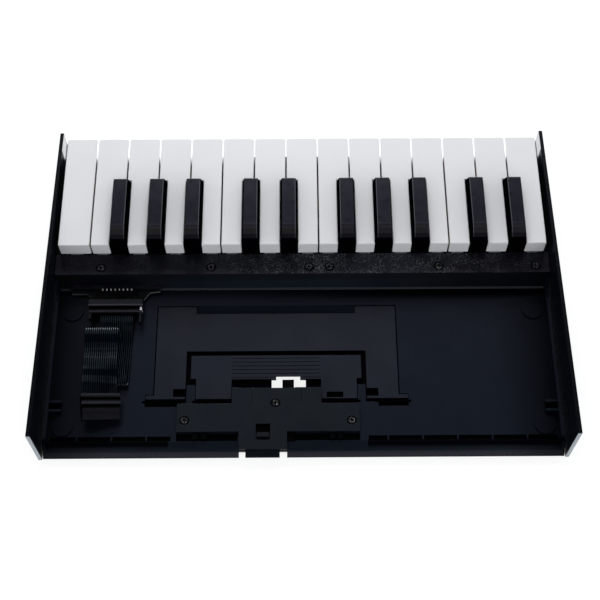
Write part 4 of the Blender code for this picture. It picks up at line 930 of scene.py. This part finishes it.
def soft_step(tree, value, *numbers):
    """A soft step on a value, from and to the four numbers, in the order From, From, To, To."""
    node = tree.nodes.new("ShaderNodeMapRange")
    node.interpolation_type = "SMOOTHSTEP"
    for name, number in zip(("From Min", "From Max", "To Min", "To Max"), numbers):
        node.inputs[name].default_value = number
    tree.links.new(value, node.inputs["Value"])
    return node


def make_world():
    """A soft studio, bright all round low down and dim overhead.

    Its strength goes softly from 0.85 low down to the overhead level high up, and that level from 0.34
    on the keys' side to 0.05 on the bay's side. The camera sees plain white.
    """
    world = bpy.data.worlds.new("studio")
    bpy.context.scene.world = world
    world.use_nodes = True
    tree = world.node_tree
    back = tree.nodes["Background"]
    back.inputs["Color"].default_value = (*DAYLIGHT, 1.0)
    way = tree.nodes.new("ShaderNodeSeparateXYZ")
    tree.links.new(tree.nodes.new("ShaderNodeTexCoord").outputs["Generated"], way.inputs["Vector"])
    overhead = soft_step(tree, way.outputs["Y"], -0.30, -0.02, 0.34, 0.05)
    strength = soft_step(tree, way.outputs["Z"], 0.35, 0.75, 0.85, 0.34)
    tree.links.new(overhead.outputs["Result"], strength.inputs["To Max"])
    tree.links.new(strength.outputs["Result"], back.inputs["Strength"])
    white = tree.nodes.new("ShaderNodeBackground")
    white.inputs["Color"].default_value = (1.0, 1.0, 1.0, 1.0)
    white.inputs["Strength"].default_value = 1.0
    seen = tree.nodes.new("ShaderNodeMixShader")
    direct = direct_rays(tree, "Is Camera Ray", "Is Transmission Ray")
    for target, source in enumerate((direct, back.outputs[0], white.outputs[0])):
        tree.links.new(source, seen.inputs[target])
    tree.links.new(seen.outputs[0], tree.nodes["World Output"].inputs["Surface"])


def add_lamps():
    """Two lamps behind the camera and one on the player's side, in metres and watts, aimed at the middle."""
    for name, place, (width, depth), power in (
        ("left", (0.6, 0.85, 0.9), (1.0, 1.2), 2.6),
        ("right", (-0.6, 0.85, 0.9), (1.0, 1.2), 2.6),
        ("front", (0.0, -1.15, 0.8), (0.7, 0.5), 11.6),
    ):
        data = bpy.data.lights.new(name, "AREA")
        data.shape = "RECTANGLE"
        data.size, data.size_y = width, depth
        data.energy = power
        lamp = bpy.data.objects.new(name, data)
        lamp.location = place
        lamp.rotation_euler = (-Vector(place)).to_track_quat("-Z", "Y").to_euler()
        bpy.context.scene.collection.objects.link(lamp)


def main():
    look_through_camera()
    materials = finishes()
    make_ribbon(materials["ribbon_cable"])
    dress(materials)
    for name in NODES:
        if is_key(name, "white") or is_key(name, "black"):
            soften(name, KEY_EDGE, flat=True)
    for name, width in EDGES:
        soften(name, width)
    make_floor()
    make_world()
    add_lamps()
    bpy.context.scene.view_settings.view_transform = "Standard"


main()
